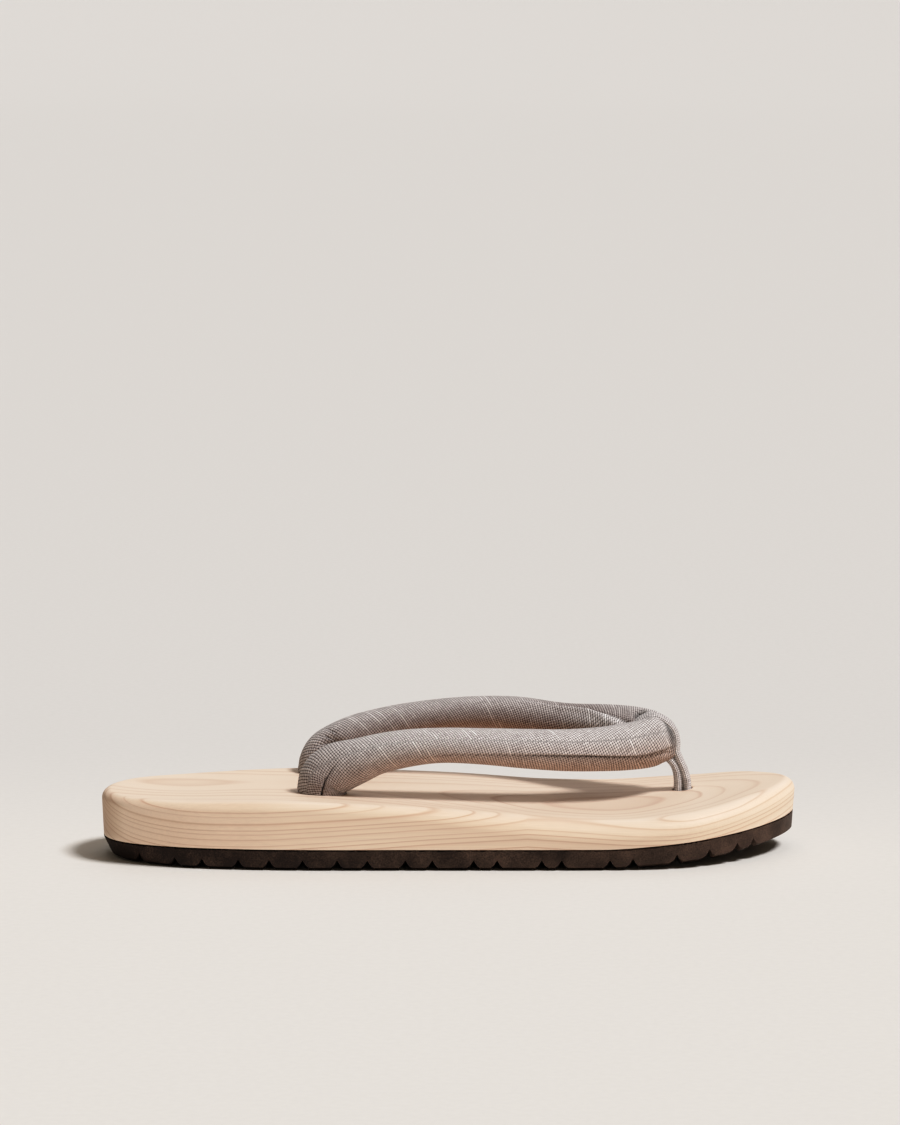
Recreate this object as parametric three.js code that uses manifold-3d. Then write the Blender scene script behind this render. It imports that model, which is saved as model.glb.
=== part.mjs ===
// Geta sandal for the right foot: a wooden base with a dished footbed, a grooved rubber
// outsole, a padded cloth thong in two arms, and the toe loop that holds the thong's nose.
// Millimetres, +Z up. Heel at -X, toe at +X, outer side of the foot at -Y, floor at z = 0.
import * as THREE from 'three';
import { mergeVertices } from 'three/addons/utils/BufferGeometryUtils.js';
import Module from 'manifold-3d';

// Driving dimensions of the base and outsole
const HALF_LENGTH = 137.5;
const HEEL_POINT_Y = -9;
const TOE_POINT_Y = 8;
const RUBBER_THICKNESS = 8;
const TOE_SPRING = 6.6;
const SPRING_START_X = 60;
const SPRING_POWER = 1.3;
const GAP = 0.3;
const SIDE_DRAFT = { seam: 0.6, tread: 1.8, floor: 2.8 };
const TREAD_BEVEL = 1.2;
const FOOTBED_DISH = 0.8;
const INNER_RISE = { height: 1.1, startX: -40, fullX: 20, startY: -45, fullY: 35 };
const SPINE_SHARE = 0.76;

// Outline in plan: y of the outer and the inner edge at each station
const OUTLINE = [
  { x: -134.4, outer: -24, inner: 5 },
  { x: -126, outer: -34.4, inner: 16.5 },
  { x: -106, outer: -43.6, inner: 26 },
  { x: -80, outer: -48.4, inner: 31.8 },
  { x: -55, outer: -50, inner: 36 },
  { x: -10, outer: -50, inner: 39.8 },
  { x: 30, outer: -50, inner: 43.2 },
  { x: 52, outer: -49.8, inner: 47.6 },
  { x: 74, outer: -49, inner: 50 },
  { x: 94, outer: -45, inner: 46.8 },
  { x: 112, outer: -34.4, inner: 39.6 },
  { x: 125, outer: -21.4, inner: 31 },
  { x: 134, outer: -6.6, inner: 20 },
];
const OUTLINE_STEPS = 4;

// Footbed height and the radius of the rounded top edge along the length
const FOOTBED = [
  { x: -137.5, top: 26, edge: 3.6 },
  { x: -105, top: 26, edge: 3.6 },
  { x: -77, top: 26.7, edge: 3.6 },
  { x: -58, top: 26.7, edge: 3.6 },
  { x: -39, top: 26, edge: 4 },
  { x: -19, top: 25, edge: 4.6 },
  { x: 0, top: 23.6, edge: 5.6 },
  { x: 19, top: 22, edge: 6.8 },
  { x: 39, top: 20.3, edge: 7.4 },
  { x: 58, top: 19.3, edge: 7.2 },
  { x: 70, top: 19.3, edge: 7 },
  { x: 84, top: 20.3, edge: 6.8 },
  { x: 100, top: 22, edge: 6.6 },
  { x: 117, top: 24.6, edge: 6.4 },
  { x: 129, top: 26, edge: 6 },
  { x: 137.5, top: 26.9, edge: 5 },
];
const ROUND_STEPS = 5;

// Rings of the wood's flat faces, as shares of the way from the edge to the middle line
const UNDERSIDE_SHARES = [1, 0.6, 0.3, 0];
const FOOTBED_SHARES = [0.25, 0.5, 0.75, 1];

// Tread: straight V grooves with a chevron groove ahead of each, as x where they leave the
// sides. Plain sections at most a step apart carry the outline between the grooves.
const GROOVE_PAIRS = [
  { straight: -122.9, chevron: -107.3 },
  { straight: -96.5, chevron: -82.2 },
  { straight: -70.1, chevron: -57.1 },
  { straight: -43.7, chevron: -32 },
  { straight: -17.3, chevron: -6.9 },
  { straight: 9.1, chevron: 18.2 },
  { straight: 35.5, chevron: 43.2 },
  { straight: 61.9, chevron: 70.9 },
  { straight: 88.3, chevron: 101.4 },
  { straight: 112.8, chevron: 119.6 },
];
const GROOVE = { width: 5, depth: 3 };
const CHEVRON_ADVANCE = 6;
const TREAD_STEP = 9;
const TREAD_LEAST_STEP = 1.5;

// Thong: one row for each section of an arm, from the rear hole to the nose
const OUTER_ARM = [
  { x: -50.6, y: -20.4, z: 16, wide: 16, tall: 18.6 },
  { x: -50.6, y: -20.5, z: 25, wide: 16.4, tall: 19 },
  { x: -48.7, y: -20.8, z: 31, wide: 17, tall: 19.2 },
  { x: -44.7, y: -21.5, z: 34.4, wide: 17.2, tall: 18.6 },
  { x: -37, y: -22.7, z: 38.1, wide: 17.2, tall: 17.4 },
  { x: -28.5, y: -23.5, z: 41.5, wide: 17, tall: 15.8 },
  { x: -17, y: -23.8, z: 43.9, wide: 17, tall: 14.7 },
  { x: -4, y: -22.7, z: 44.9, wide: 17, tall: 13.6 },
  { x: 12, y: -19.6, z: 44, wide: 17, tall: 14 },
  { x: 28, y: -15.2, z: 42.4, wide: 17, tall: 15.4 },
  { x: 44, y: -9, z: 40.7, wide: 17, tall: 16.6 },
  { x: 60, y: -1.6, z: 39.8, wide: 16.6, tall: 17.8 },
  { x: 72, y: 4.8, z: 39.8, wide: 16, tall: 19 },
  { x: 81, y: 9.6, z: 41, wide: 14, tall: 19 },
  { x: 87, y: 13, z: 41.4, wide: 9, tall: 14 },
];
const INNER_ARM = [
  { x: -51.8, y: 25, z: 17, wide: 16, tall: 19 },
  { x: -51.8, y: 25.2, z: 26.2, wide: 16.4, tall: 19.6 },
  { x: -49.9, y: 25.8, z: 32.3, wide: 17, tall: 19.8 },
  { x: -45.9, y: 26.8, z: 35.9, wide: 17.2, tall: 19.2 },
  { x: -38, y: 28.6, z: 40.2, wide: 17.2, tall: 17.4 },
  { x: -28.5, y: 30.4, z: 43.3, wide: 17, tall: 15.8 },
  { x: -17, y: 32.2, z: 45.8, wide: 17, tall: 14.7 },
  { x: -4, y: 33.4, z: 47.8, wide: 17, tall: 13.6 },
  { x: 12, y: 34, z: 48.7, wide: 17, tall: 14 },
  { x: 28, y: 33.2, z: 47.9, wide: 17, tall: 15.4 },
  { x: 44, y: 31, z: 46, wide: 17, tall: 16.6 },
  { x: 60, y: 27.6, z: 45.2, wide: 16.6, tall: 17.8 },
  { x: 72, y: 23.6, z: 44.2, wide: 16, tall: 19 },
  { x: 81, y: 18.6, z: 42.6, wide: 14, tall: 19 },
  { x: 87, y: 15, z: 41.6, wide: 9, tall: 14 },
];
const CREASE = { angle: 0.5, depth: 1.4, spread: 0.32 };
const ARM_STEPS = 42;
const ARM_SIDES = 20;
const TAIL_RADIUS = 4.5;
const REAR_HOLE_RADIUS = 5;

// Toe loop: centre of the cloth tube, out of the toe hole, round the nose and back
const LOOP_Y = 14;
const LOOP = { thick: 3.2, wide: 7 };
const LOOP_ROUTE = [
  { x: 91.4, z: 15.5 },
  { x: 91.4, z: 20.5 },
  { x: 91.4, z: 25.5 },
  { x: 90.7, z: 29.3 },
  { x: 89.1, z: 32.3 },
  { x: 86, z: 35 },
  { x: 80.6, z: 36.6 },
  { x: 75.8, z: 39.2 },
  { x: 73.8, z: 43.4 },
  { x: 75, z: 47.8 },
  { x: 79, z: 50.4 },
  { x: 83, z: 50.4 },
  { x: 86.6, z: 48.4 },
  { x: 89.4, z: 45 },
  { x: 90.8, z: 40.6 },
  { x: 90.9, z: 37 },
  { x: 91.8, z: 34 },
  { x: 93.5, z: 29.7 },
  { x: 94.8, z: 25 },
  { x: 95, z: 20.5 },
  { x: 95, z: 15.5 },
];
const LOOP_STEPS = 56;
const LOOP_SIDES = 12;
const TOE_HOLE = { x: 93.2, halfLong: 4.2, halfWide: 4.3 };
const HOLE_SIDES = 20;
const HOLE_OVERRUN = 12;

// Accuracy of the outline's places and of joined corners
const HALVINGS = 40;
const WELD = 0.001;

const wasm = await Module();
wasm.setup();

// Smooth value along x through a table's rows, with slopes taken from the neighbours.
function along(rows, key) {
  const last = rows.length - 1;
  const slope = (i) => {
    const a = rows[Math.max(i - 1, 0)];
    const b = rows[Math.min(i + 1, last)];
    return (b[key] - a[key]) / (b.x - a.x);
  };
  return (x) => {
    const at = THREE.MathUtils.clamp(x, rows[0].x, rows[last].x);
    const next = rows.findIndex((row) => row.x >= at);
    const i = Math.max(next - 1, 0);
    const span = rows[i + 1].x - rows[i].x;
    const t = (at - rows[i].x) / span;
    const rise = rows[i + 1][key] - rows[i][key];
    const ease = t * t * (3 - 2 * t);
    const leave = slope(i) * span * t * (1 - t) * (1 - t);
    const arrive = slope(i + 1) * span * t * t * (t - 1);
    return rows[i][key] + rise * ease + leave + arrive;
  };
}

const footbedTop = along(FOOTBED, 'top');
const edgeRadius = along(FOOTBED, 'edge');

// Rise of the footbed across to the inner side, forward of the thong's roots.
function innerRise(x, y) {
  const { height, startX, fullX, startY, fullY } = INNER_RISE;
  const { smoothstep } = THREE.MathUtils;
  return height * smoothstep(x, startX, fullX) * smoothstep(y, startY, fullY);
}

// Height of the underside: flat on the floor, then rising towards the toe.
function underside(x) {
  const run = Math.max(x - SPRING_START_X, 0) / (HALF_LENGTH - SPRING_START_X);
  return TOE_SPRING * run ** SPRING_POWER;
}

// Edge of the base in plan, counter-clockwise from above. The first half is the outer side
// from heel to toe, and the second half is the inner side back to the heel.
function outlineCurve() {
  const outer = OUTLINE.map((row) => new THREE.Vector3(row.x, row.outer, 0));
  const inner = OUTLINE.map((row) => new THREE.Vector3(row.x, row.inner, 0)).reverse();
  const toe = new THREE.Vector3(HALF_LENGTH, TOE_POINT_Y, 0);
  const heel = new THREE.Vector3(-HALF_LENGTH, HEEL_POINT_Y, 0);
  return new THREE.CatmullRomCurve3([heel, ...outer, toe, ...inner], true, 'centripetal');
}

const EDGE = outlineCurve();

// Place on the edge and its outward direction, t from 0 at the heel round to 1.
function edgePlace(t) {
  const way = EDGE.getTangent(t);
  return { at: EDGE.getPoint(t), out: new THREE.Vector3(way.y, -way.x, 0) };
}

// Place on the outer (side -1) or the inner edge (side 1) at a given x, by halving.
function edgeAtX(x, side) {
  if (Math.abs(x) >= HALF_LENGTH) {
    return edgePlace(x < 0 ? 0 : 0.5);
  }
  let heelward = side < 0 ? 0 : 1;
  let toeward = 0.5;
  for (let round = 0; round < HALVINGS; round += 1) {
    const middle = (heelward + toeward) / 2;
    if (EDGE.getPoint(middle).x < x) {
      heelward = middle;
    } else {
      toeward = middle;
    }
  }
  return edgePlace((heelward + toeward) / 2);
}

// Edge places, each with the point of the middle line that it shares with the one across.
function outlinePlaces() {
  const count = EDGE.points.length * OUTLINE_STEPS;
  const places = [];
  for (let i = 0; i < count; i += 1) {
    const place = edgePlace(i / count);
    const across = EDGE.getPoint(((count - i) % count) / count);
    const middle = place.at.clone().add(across).multiplyScalar(0.5);
    middle.x *= SPINE_SHARE;
    places.push({ ...place, middle });
  }
  return places;
}

const EDGE_LINE = outlinePlaces();

// Ring of the sole: the outline drawn in by inset, then drawn a share of the way to the
// middle line, at the height that the last function gives for each place.
function soleRing(inset, share, height) {
  return EDGE_LINE.map(({ at, out, middle }) => {
    const place = at.clone().addScaledVector(out, -inset(at.x)).lerp(middle, share);
    place.z = height(place.x, place.y, share);
    return place;
  });
}

// Closed skin over rings of equal length. The rings turn counter-clockwise as seen from
// the end, and cap lists the triangles that close the first and the last ring.
function skin(rings, cap) {
  const count = rings[0].length;
  const points = rings.flat();
  const faces = [];
  for (let ring = 0; ring + 1 < rings.length; ring += 1) {
    for (let i = 0; i < count; i += 1) {
      const a = ring * count + i;
      const b = ring * count + ((i + 1) % count);
      faces.push(a, b, b + count, a, b + count, a + count);
    }
  }
  const lastRing = (rings.length - 1) * count;
  for (const [a, b, c] of cap(rings[0])) {
    faces.push(a, c, b);
  }
  for (const [a, b, c] of cap(rings[rings.length - 1])) {
    faces.push(lastRing + a, lastRing + b, lastRing + c);
  }
  const geometry = new THREE.BufferGeometry().setFromPoints(points);
  geometry.setIndex(faces);
  return geometry;
}

// Cap of a ring that has shrunk to the sole's middle line and is closed already.
function noCap() {
  return [];
}

// Cap of a rounded section: a fan from its first point.
function fanCap(ring) {
  const faces = [];
  for (let i = 1; i + 1 < ring.length; i += 1) {
    faces.push([0, i, i + 1]);
  }
  return faces;
}

// The same surface with shared corners joined and the faces that shrink away left out.
function weld(geometry) {
  const merged = mergeVertices(geometry, WELD);
  const index = merged.index.array;
  const faces = [];
  for (let i = 0; i < index.length; i += 3) {
    const [a, b, c] = index.slice(i, i + 3);
    if (a !== b && b !== c && c !== a) {
      faces.push(a, b, c);
    }
  }
  merged.setIndex(faces);
  return merged;
}

function toSolid(geometry) {
  const { attributes, index } = weld(geometry);
  return new wasm.Manifold(new wasm.Mesh({
    numProp: 3,
    vertProperties: new Float32Array(attributes.position.array),
    triVerts: new Uint32Array(index.array),
  }));
}

function toGeometry(solid) {
  const mesh = solid.getMesh();
  const geometry = new THREE.BufferGeometry();
  geometry.setAttribute('position', new THREE.BufferAttribute(mesh.vertProperties, 3));
  geometry.setIndex(new THREE.BufferAttribute(mesh.triVerts, 1));
  return geometry;
}

// Upright oval bar, for the holes in the wood and the thong's tails.
function uprightBar(x, y, halfLong, halfWide, low, high) {
  const rings = [low, high].map((z) => {
    const ring = [];
    for (let i = 0; i < HOLE_SIDES; i += 1) {
      const angle = (2 * Math.PI * i) / HOLE_SIDES;
      ring.push(new THREE.Vector3(x + halfLong * Math.cos(angle), y + halfWide * Math.sin(angle), z));
    }
    return ring;
  });
  return toSolid(skin(rings, fanCap));
}

// Wooden base without its holes, lifted by a gap from the rubber.
function woodBlank(lift) {
  const bottom = (x) => underside(x) + RUBBER_THICKNESS + lift;
  const dish = (share) => FOOTBED_DISH * (1 - (1 - share) ** 2);
  const footbed = (x, y, share) => footbedTop(x) + innerRise(x, y) + lift - GAP - dish(share);
  const seamInset = () => SIDE_DRAFT.seam;
  const rings = UNDERSIDE_SHARES.map((share) => soleRing(seamInset, share, bottom));
  for (let step = 0; step <= ROUND_STEPS; step += 1) {
    const angle = (Math.PI / 2) * (step / ROUND_STEPS);
    const inset = (x) => edgeRadius(x) * (1 - Math.cos(angle));
    const height = (x, y) => footbed(x, y, 0) - edgeRadius(x) * (1 - Math.sin(angle));
    rings.push(soleRing(inset, 0, height));
  }
  for (const share of FOOTBED_SHARES) {
    rings.push(soleRing(edgeRadius, share, footbed));
  }
  return toSolid(skin(rings, noCap));
}

function woodBase() {
  const hole = (x, y, halfLong, halfWide) => (
    uprightBar(x, y, halfLong, halfWide, -HOLE_OVERRUN, footbedTop(x) + HOLE_OVERRUN)
  );
  let wood = woodBlank(GAP);
  for (const [root] of [OUTER_ARM, INNER_ARM]) {
    wood = wood.subtract(hole(root.x, root.y, REAR_HOLE_RADIUS, REAR_HOLE_RADIUS));
  }
  const toeHole = hole(TOE_HOLE.x, LOOP_Y, TOE_HOLE.halfLong, TOE_HOLE.halfWide);
  return toGeometry(wood.subtract(toeHole));
}

// Stations of the tread from heel to toe. Each has its x at the sides, the advance of its
// middle, and the share of the groove's depth that is cut there.
function treadStations() {
  const half = GROOVE.width / 2;
  const cuts = GROOVE_PAIRS.flatMap(({ straight, chevron }) => [
    { x: straight, advance: 0 },
    { x: chevron, advance: CHEVRON_ADVANCE },
  ]);
  const stations = cuts.flatMap(({ x, advance }) => [
    { x: x - half, advance, cut: 0 },
    { x, advance, cut: 1 },
    { x: x + half, advance, cut: 0 },
  ]);
  const plain = [];
  let reach = 0;
  while (reach < HALF_LENGTH) {
    plain.push(reach, -reach);
    reach += TREAD_LEAST_STEP + TREAD_STEP * Math.sqrt(1 - (reach / HALF_LENGTH) ** 2);
  }
  const spare = plain.filter((x) => stations.every((row) => Math.abs(row.x - x) > GROOVE.width));
  stations.push(...spare.map((x) => ({ x, advance: 0, cut: 0 })));
  stations.push({ x: -HALF_LENGTH, advance: 0, cut: 0 }, { x: HALF_LENGTH, advance: 0, cut: 0 });
  return stations.sort((a, b) => a.x - b.x);
}

// Section of the outsole across the sole at one station.
function outsoleRing({ x, advance, cut }) {
  const outer = edgeAtX(x, -1);
  const inner = edgeAtX(x, 1);
  const lift = cut * GROOVE.depth;
  const point = ({ at, out }, inset, height) => {
    const place = at.clone().addScaledVector(out, -inset);
    place.z = underside(place.x) + height;
    return place;
  };
  const treadHeight = Math.max(lift, TREAD_BEVEL);
  const outerFloor = point(outer, SIDE_DRAFT.floor, lift);
  const innerFloor = point(inner, SIDE_DRAFT.floor, lift);
  const outerSeam = point(outer, SIDE_DRAFT.seam, RUBBER_THICKNESS);
  const innerSeam = point(inner, SIDE_DRAFT.seam, RUBBER_THICKNESS);
  const middleFloor = outerFloor.clone().lerp(innerFloor, 0.5);
  middleFloor.x += advance;
  middleFloor.z = underside(middleFloor.x) + lift;
  const middleSeam = outerSeam.clone().lerp(innerSeam, 0.5);
  return [
    outerSeam,
    point(outer, SIDE_DRAFT.tread, treadHeight),
    outerFloor,
    middleFloor,
    innerFloor,
    point(inner, SIDE_DRAFT.tread, treadHeight),
    innerSeam,
    middleSeam,
  ];
}

function rubberOutsole() {
  const rings = treadStations().map(outsoleRing);
  return weld(skin(rings, noCap));
}

// Tube along a smooth line through the centres. Its sections stand square to the line, with
// the first axis as near to Y as the line allows. shape(t, angle) gives the two offsets.
function tube(centres, steps, sides, shape) {
  const curve = new THREE.CatmullRomCurve3(centres, false, 'catmullrom');
  const rings = [];
  for (let step = 0; step <= steps; step += 1) {
    const t = step / steps;
    const centre = curve.getPoint(t);
    const way = curve.getTangent(t);
    const across = new THREE.Vector3(0, 1, 0).addScaledVector(way, -way.y).normalize();
    const up = new THREE.Vector3().crossVectors(way, across);
    const ring = [];
    for (let i = 0; i < sides; i += 1) {
      const [a, b] = shape(t, (2 * Math.PI * i) / sides);
      ring.push(centre.clone().addScaledVector(across, a).addScaledVector(up, b));
    }
    rings.push(ring);
  }
  return toSolid(skin(rings, fanCap));
}

// One arm of the thong. side is -1 for the outer arm and 1 for the inner arm. The padded
// section is two rolls with a soft crease between them, low on the outward side.
function thongArm(sections, side) {
  const centres = sections.map((row) => new THREE.Vector3(row.x, row.y, row.z));
  const sizes = sections.map((row) => new THREE.Vector3(row.wide, row.tall, 0));
  const size = new THREE.CatmullRomCurve3(sizes, false, 'catmullrom');
  const creaseAngle = side < 0 ? Math.PI + CREASE.angle : 2 * Math.PI - CREASE.angle;
  return tube(centres, ARM_STEPS, ARM_SIDES, (t, angle) => {
    const { x: wide, y: tall } = size.getPoint(t);
    const turn = Math.atan2(Math.sin(angle - creaseAngle), Math.cos(angle - creaseAngle));
    const dent = CREASE.depth * Math.exp(-((turn / CREASE.spread) ** 2));
    return [(wide / 2 - dent) * Math.cos(angle), (tall / 2 - dent) * Math.sin(angle)];
  });
}

function loopTube(grow) {
  const centres = LOOP_ROUTE.map((row) => new THREE.Vector3(row.x, LOOP_Y, row.z));
  const wide = LOOP.wide / 2 + grow;
  const thick = LOOP.thick / 2 + grow;
  return tube(centres, LOOP_STEPS, LOOP_SIDES, (t, angle) => (
    [wide * Math.cos(angle), thick * Math.sin(angle)]
  ));
}

// Both arms joined at the nose, seated on the footbed, with a tail in each rear hole and a
// channel where the toe loop presses in.
function hanaoStrap() {
  let strap = thongArm(OUTER_ARM, -1).add(thongArm(INNER_ARM, 1)).subtract(woodBlank(2 * GAP));
  const tailLow = RUBBER_THICKNESS + 2 * GAP;
  for (const [root, seat] of [OUTER_ARM, INNER_ARM]) {
    const tailHigh = seat.z + TAIL_RADIUS;
    strap = strap.add(uprightBar(root.x, root.y, TAIL_RADIUS, TAIL_RADIUS, tailLow, tailHigh));
  }
  return toGeometry(strap.subtract(loopTube(GAP)));
}

// Finishes
const HINOKI = new THREE.MeshStandardMaterial({ color: '#e6cbab', roughness: 0.62, metalness: 0 });
const RUBBER = new THREE.MeshStandardMaterial({ color: '#2b2320', roughness: 0.85, metalness: 0 });
const LINEN = new THREE.MeshStandardMaterial({ color: '#9a9492', roughness: 0.95, metalness: 0 });
const LOOP_LINEN = new THREE.MeshStandardMaterial({ color: '#8d8584', roughness: 0.95, metalness: 0 });

const sandal = new THREE.Group();
const PIECES = [
  { name: 'wood_base', geometry: woodBase(), material: HINOKI },
  { name: 'rubber_outsole', geometry: rubberOutsole(), material: RUBBER },
  { name: 'hanao_strap', geometry: hanaoStrap(), material: LINEN },
  { name: 'toe_loop', geometry: toGeometry(loopTube(0)), material: LOOP_LINEN },
];
for (const { name, geometry, material } of PIECES) {
  const mesh = new THREE.Mesh(geometry, material);
  mesh.name = name;
  sandal.add(mesh);
}

export default sandal;
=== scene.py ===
"""Dresses one right-foot geta sandal for a studio picture.

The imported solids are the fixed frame. Finished pieces stand in their place: a wooden base with
growth rings, a moulded rubber outsole, a stuffed linen thong and the cloth loop at its nose.
Sizes in the classes are millimetres, but metres in the studio, and angles are degrees. +X runs
from heel to toe, +Y to the inner side, +Z up.
"""

from __future__ import annotations

import logging
import math
from dataclasses import dataclass
from enum import Enum
from typing import Callable, Iterable, Mapping, NamedTuple, Sequence, TypeVar

import bmesh
import bpy
import numpy as np
from bpy.types import Material, Node, NodeSocket, NodeTree, Object
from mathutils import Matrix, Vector
from mathutils.bvhtree import BVHTree


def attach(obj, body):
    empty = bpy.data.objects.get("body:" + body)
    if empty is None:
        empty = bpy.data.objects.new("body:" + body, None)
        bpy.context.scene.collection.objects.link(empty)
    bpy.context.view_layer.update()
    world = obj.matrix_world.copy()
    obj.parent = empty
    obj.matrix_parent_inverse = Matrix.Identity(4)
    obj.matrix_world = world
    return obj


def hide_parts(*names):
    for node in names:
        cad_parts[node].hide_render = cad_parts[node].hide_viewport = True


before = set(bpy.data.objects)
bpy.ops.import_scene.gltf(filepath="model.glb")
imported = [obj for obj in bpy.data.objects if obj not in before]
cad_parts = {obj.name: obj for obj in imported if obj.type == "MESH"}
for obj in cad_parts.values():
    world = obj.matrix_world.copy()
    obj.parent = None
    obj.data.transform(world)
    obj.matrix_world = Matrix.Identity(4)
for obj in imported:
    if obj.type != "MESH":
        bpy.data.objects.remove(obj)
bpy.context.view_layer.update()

LOG = logging.getLogger("geta")
BODY = "root"
MM = 0.001
UP = Vector((0.0, 0.0, 1.0))
SMOOTH_ANGLE = math.radians(38.0)
JOIN_DISTANCE = 0.001 * MM

Row = TypeVar("Row", bound=tuple)

# Numbers of the colour sockets on a Mix node
MIX_A, MIX_B, MIX_RESULT = 6, 7, 2
# What a noise gives on average
NOISE_MIDDLE = 0.5


class Spacing(Enum):
    """How a smooth line spaces its knots: the power of the distance between two points."""

    EVEN = 0.0
    CENTRIPETAL = 0.5


class Side(Enum):
    """Side of the foot, as the sign of y."""

    OUTER = -1
    INNER = 1


class EdgeRow(NamedTuple):
    """Outline in plan at one station: y of the outer and of the inner edge."""

    x: float
    outer: float
    inner: float


class BedRow(NamedTuple):
    """Footbed at one station: height of the top and radius of its rounded edge."""

    x: float
    top: float
    edge: float


class ArmRow(NamedTuple):
    """Section of the thong: its centre, and its width and height square to the arm."""

    x: float
    y: float
    z: float
    wide: float
    tall: float


class CreaseRow(NamedTuple):
    """Point of a crease: distance from the outer root, degrees round the section, and depth."""

    along: float
    angle: float
    depth: float


class GroovePair(NamedTuple):
    """Straight groove and the chevron ahead of it: x where each leaves the sides."""

    straight: float
    chevron: float


class LoopRow(NamedTuple):
    """Point of the toe loop's centre line in its upright plane."""

    x: float
    z: float


class Streaks(NamedTuple):
    """Soft pattern in the wood: the size of its clouds along each axis, and its finer layers."""

    x: float
    y: float
    z: float
    layers: float = 2.0
    layer_strength: float = 0.5


class SunLight(NamedTuple):
    """Far soft light.

    It has the way to it, the degrees that it fills, its watts for each square metre that faces it,
    and its tint.
    """

    name: str
    toward: tuple[float, float, float]
    width: float
    strength: float
    colour: str


def rows_of(kind: type[Row], *rows: Sequence[float]) -> tuple[Row, ...]:
    """Makes the rows of a table from plain numbers."""
    return tuple(kind(*row) for row in rows)


def smoothstep(share: np.ndarray) -> np.ndarray:
    """Eases shares from 0 to 1, held at both ends."""
    held = np.clip(share, 0.0, 1.0)
    return held * held * (3.0 - 2.0 * held)


def turn_from(centre: np.ndarray | float, angle: np.ndarray) -> np.ndarray:
    """Gives the shorter turn from one angle to another, in degrees."""
    return (angle - centre + 180.0) % 360.0 - 180.0


def linear(hex_colour: str) -> tuple[float, float, float, float]:
    """Turns an sRGB hex colour into Blender's linear colour.

    Args:
        hex_colour: Colour as "#rrggbb".

    Returns:
        Linear red, green, blue and an alpha of 1.
    """
    parts = (int(hex_colour[i:i + 2], 16) / 255.0 for i in (1, 3, 5))
    red, green, blue = (c / 12.92 if c <= 0.04045 else ((c + 0.055) / 1.055) ** 2.4 for c in parts)
    return red, green, blue, 1.0


def add_node(
    tree: NodeTree,
    kind: str,
    links: Mapping[str | int, object] | None = None,
    **settings: object,
) -> Node:
    """Adds one node, sets its properties and fills its inputs.

    Args:
        tree: Tree that takes the node.
        kind: Blender's name for the kind of node.
        links: For each input's name or number, a plain value, a socket, or a node whose first
            output is linked.
        settings: The node's properties by name.

    Returns:
        The new node.
    """
    node = tree.nodes.new(kind)
    for name, value in settings.items():
        setattr(node, name, value)
    for key, value in (links or {}).items():
        source = value.outputs[0] if isinstance(value, Node) else value
        if isinstance(source, NodeSocket):
            tree.links.new(source, node.inputs[key])
        else:
            node.inputs[key].default_value = source
    return node


def new_material(name: str) -> tuple[Material, NodeTree]:
    """Makes an empty node material.

    Args:
        name: The material's name.

    Returns:
        The material and its tree.
    """
    material = bpy.data.materials.new(name)
    material.use_nodes = True
    material.node_tree.nodes.clear()
    return material, material.node_tree


def dress(tree: NodeTree, colour: object, relief: object, bump: tuple[float, float],
          surface: Mapping[str, float]) -> None:
    """Joins a colour and a relief to a shader and to the material's output.

    Args:
        tree: The material's tree.
        colour: Socket of the colour.
        relief: Node of the heights.
        bump: Strength of the relief and its depth in millimetres.
        surface: The shader's other inputs by name.
    """
    strength, depth = bump
    normal = add_node(tree, "ShaderNodeBump", {
        "Height": relief, "Strength": strength, "Distance": depth * MM})
    shader = add_node(tree, "ShaderNodeBsdfPrincipled", {
        "Base Color": colour, "Normal": normal, **surface})
    add_node(tree, "ShaderNodeOutputMaterial", {"Surface": shader})


class SmoothLine:
    """Catmull-Rom line through given points of any number of columns."""

    def __init__(self, points: Sequence[Sequence[float]], closed: bool = False,
                 spacing: Spacing = Spacing.EVEN) -> None:
        """Keeps the points.

        Args:
            points: Rows of numbers that the line goes through.
            closed: Whether the last point joins the first.
            spacing: How the knots are spaced.
        """
        self.points = np.array(points, float)
        self.closed = closed
        self.spacing = spacing

    def __call__(self, t: np.ndarray) -> np.ndarray:
        """Gives the line's rows at shares of its run.

        Args:
            t: Shares from 0 to 1, equal between any two points.

        Returns:
            One row for each share.
        """
        count = len(self.points)
        spans = count if self.closed else count - 1
        place = np.clip(t, 0.0, 1.0) * spans
        first = np.minimum(place.astype(int), spans - 1)
        reach = first[:, None] + np.arange(4)
        if self.closed:
            near = self.points[(reach - 1) % count]
        else:
            before = 2 * self.points[0] - self.points[1]
            after = 2 * self.points[-1] - self.points[-2]
            near = np.vstack([before, self.points, after])[reach]
        p0, p1, p2, p3 = near.transpose(1, 0, 2)
        steps = np.linalg.norm(np.diff(near, axis=1), axis=2) ** self.spacing.value
        d0, d1, d2 = steps.T[..., None]
        leave = d1 * ((p1 - p0) / d0 - (p2 - p0) / (d0 + d1) + (p2 - p1) / d1)
        arrive = d1 * ((p2 - p1) / d1 - (p3 - p1) / (d1 + d2) + (p3 - p2) / d2)
        w = (place - first)[:, None]
        eased = p1 + (p2 - p1) * smoothstep(w)
        return eased + leave * w * (1 - w) ** 2 + arrive * w * w * (w - 1)


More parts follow.
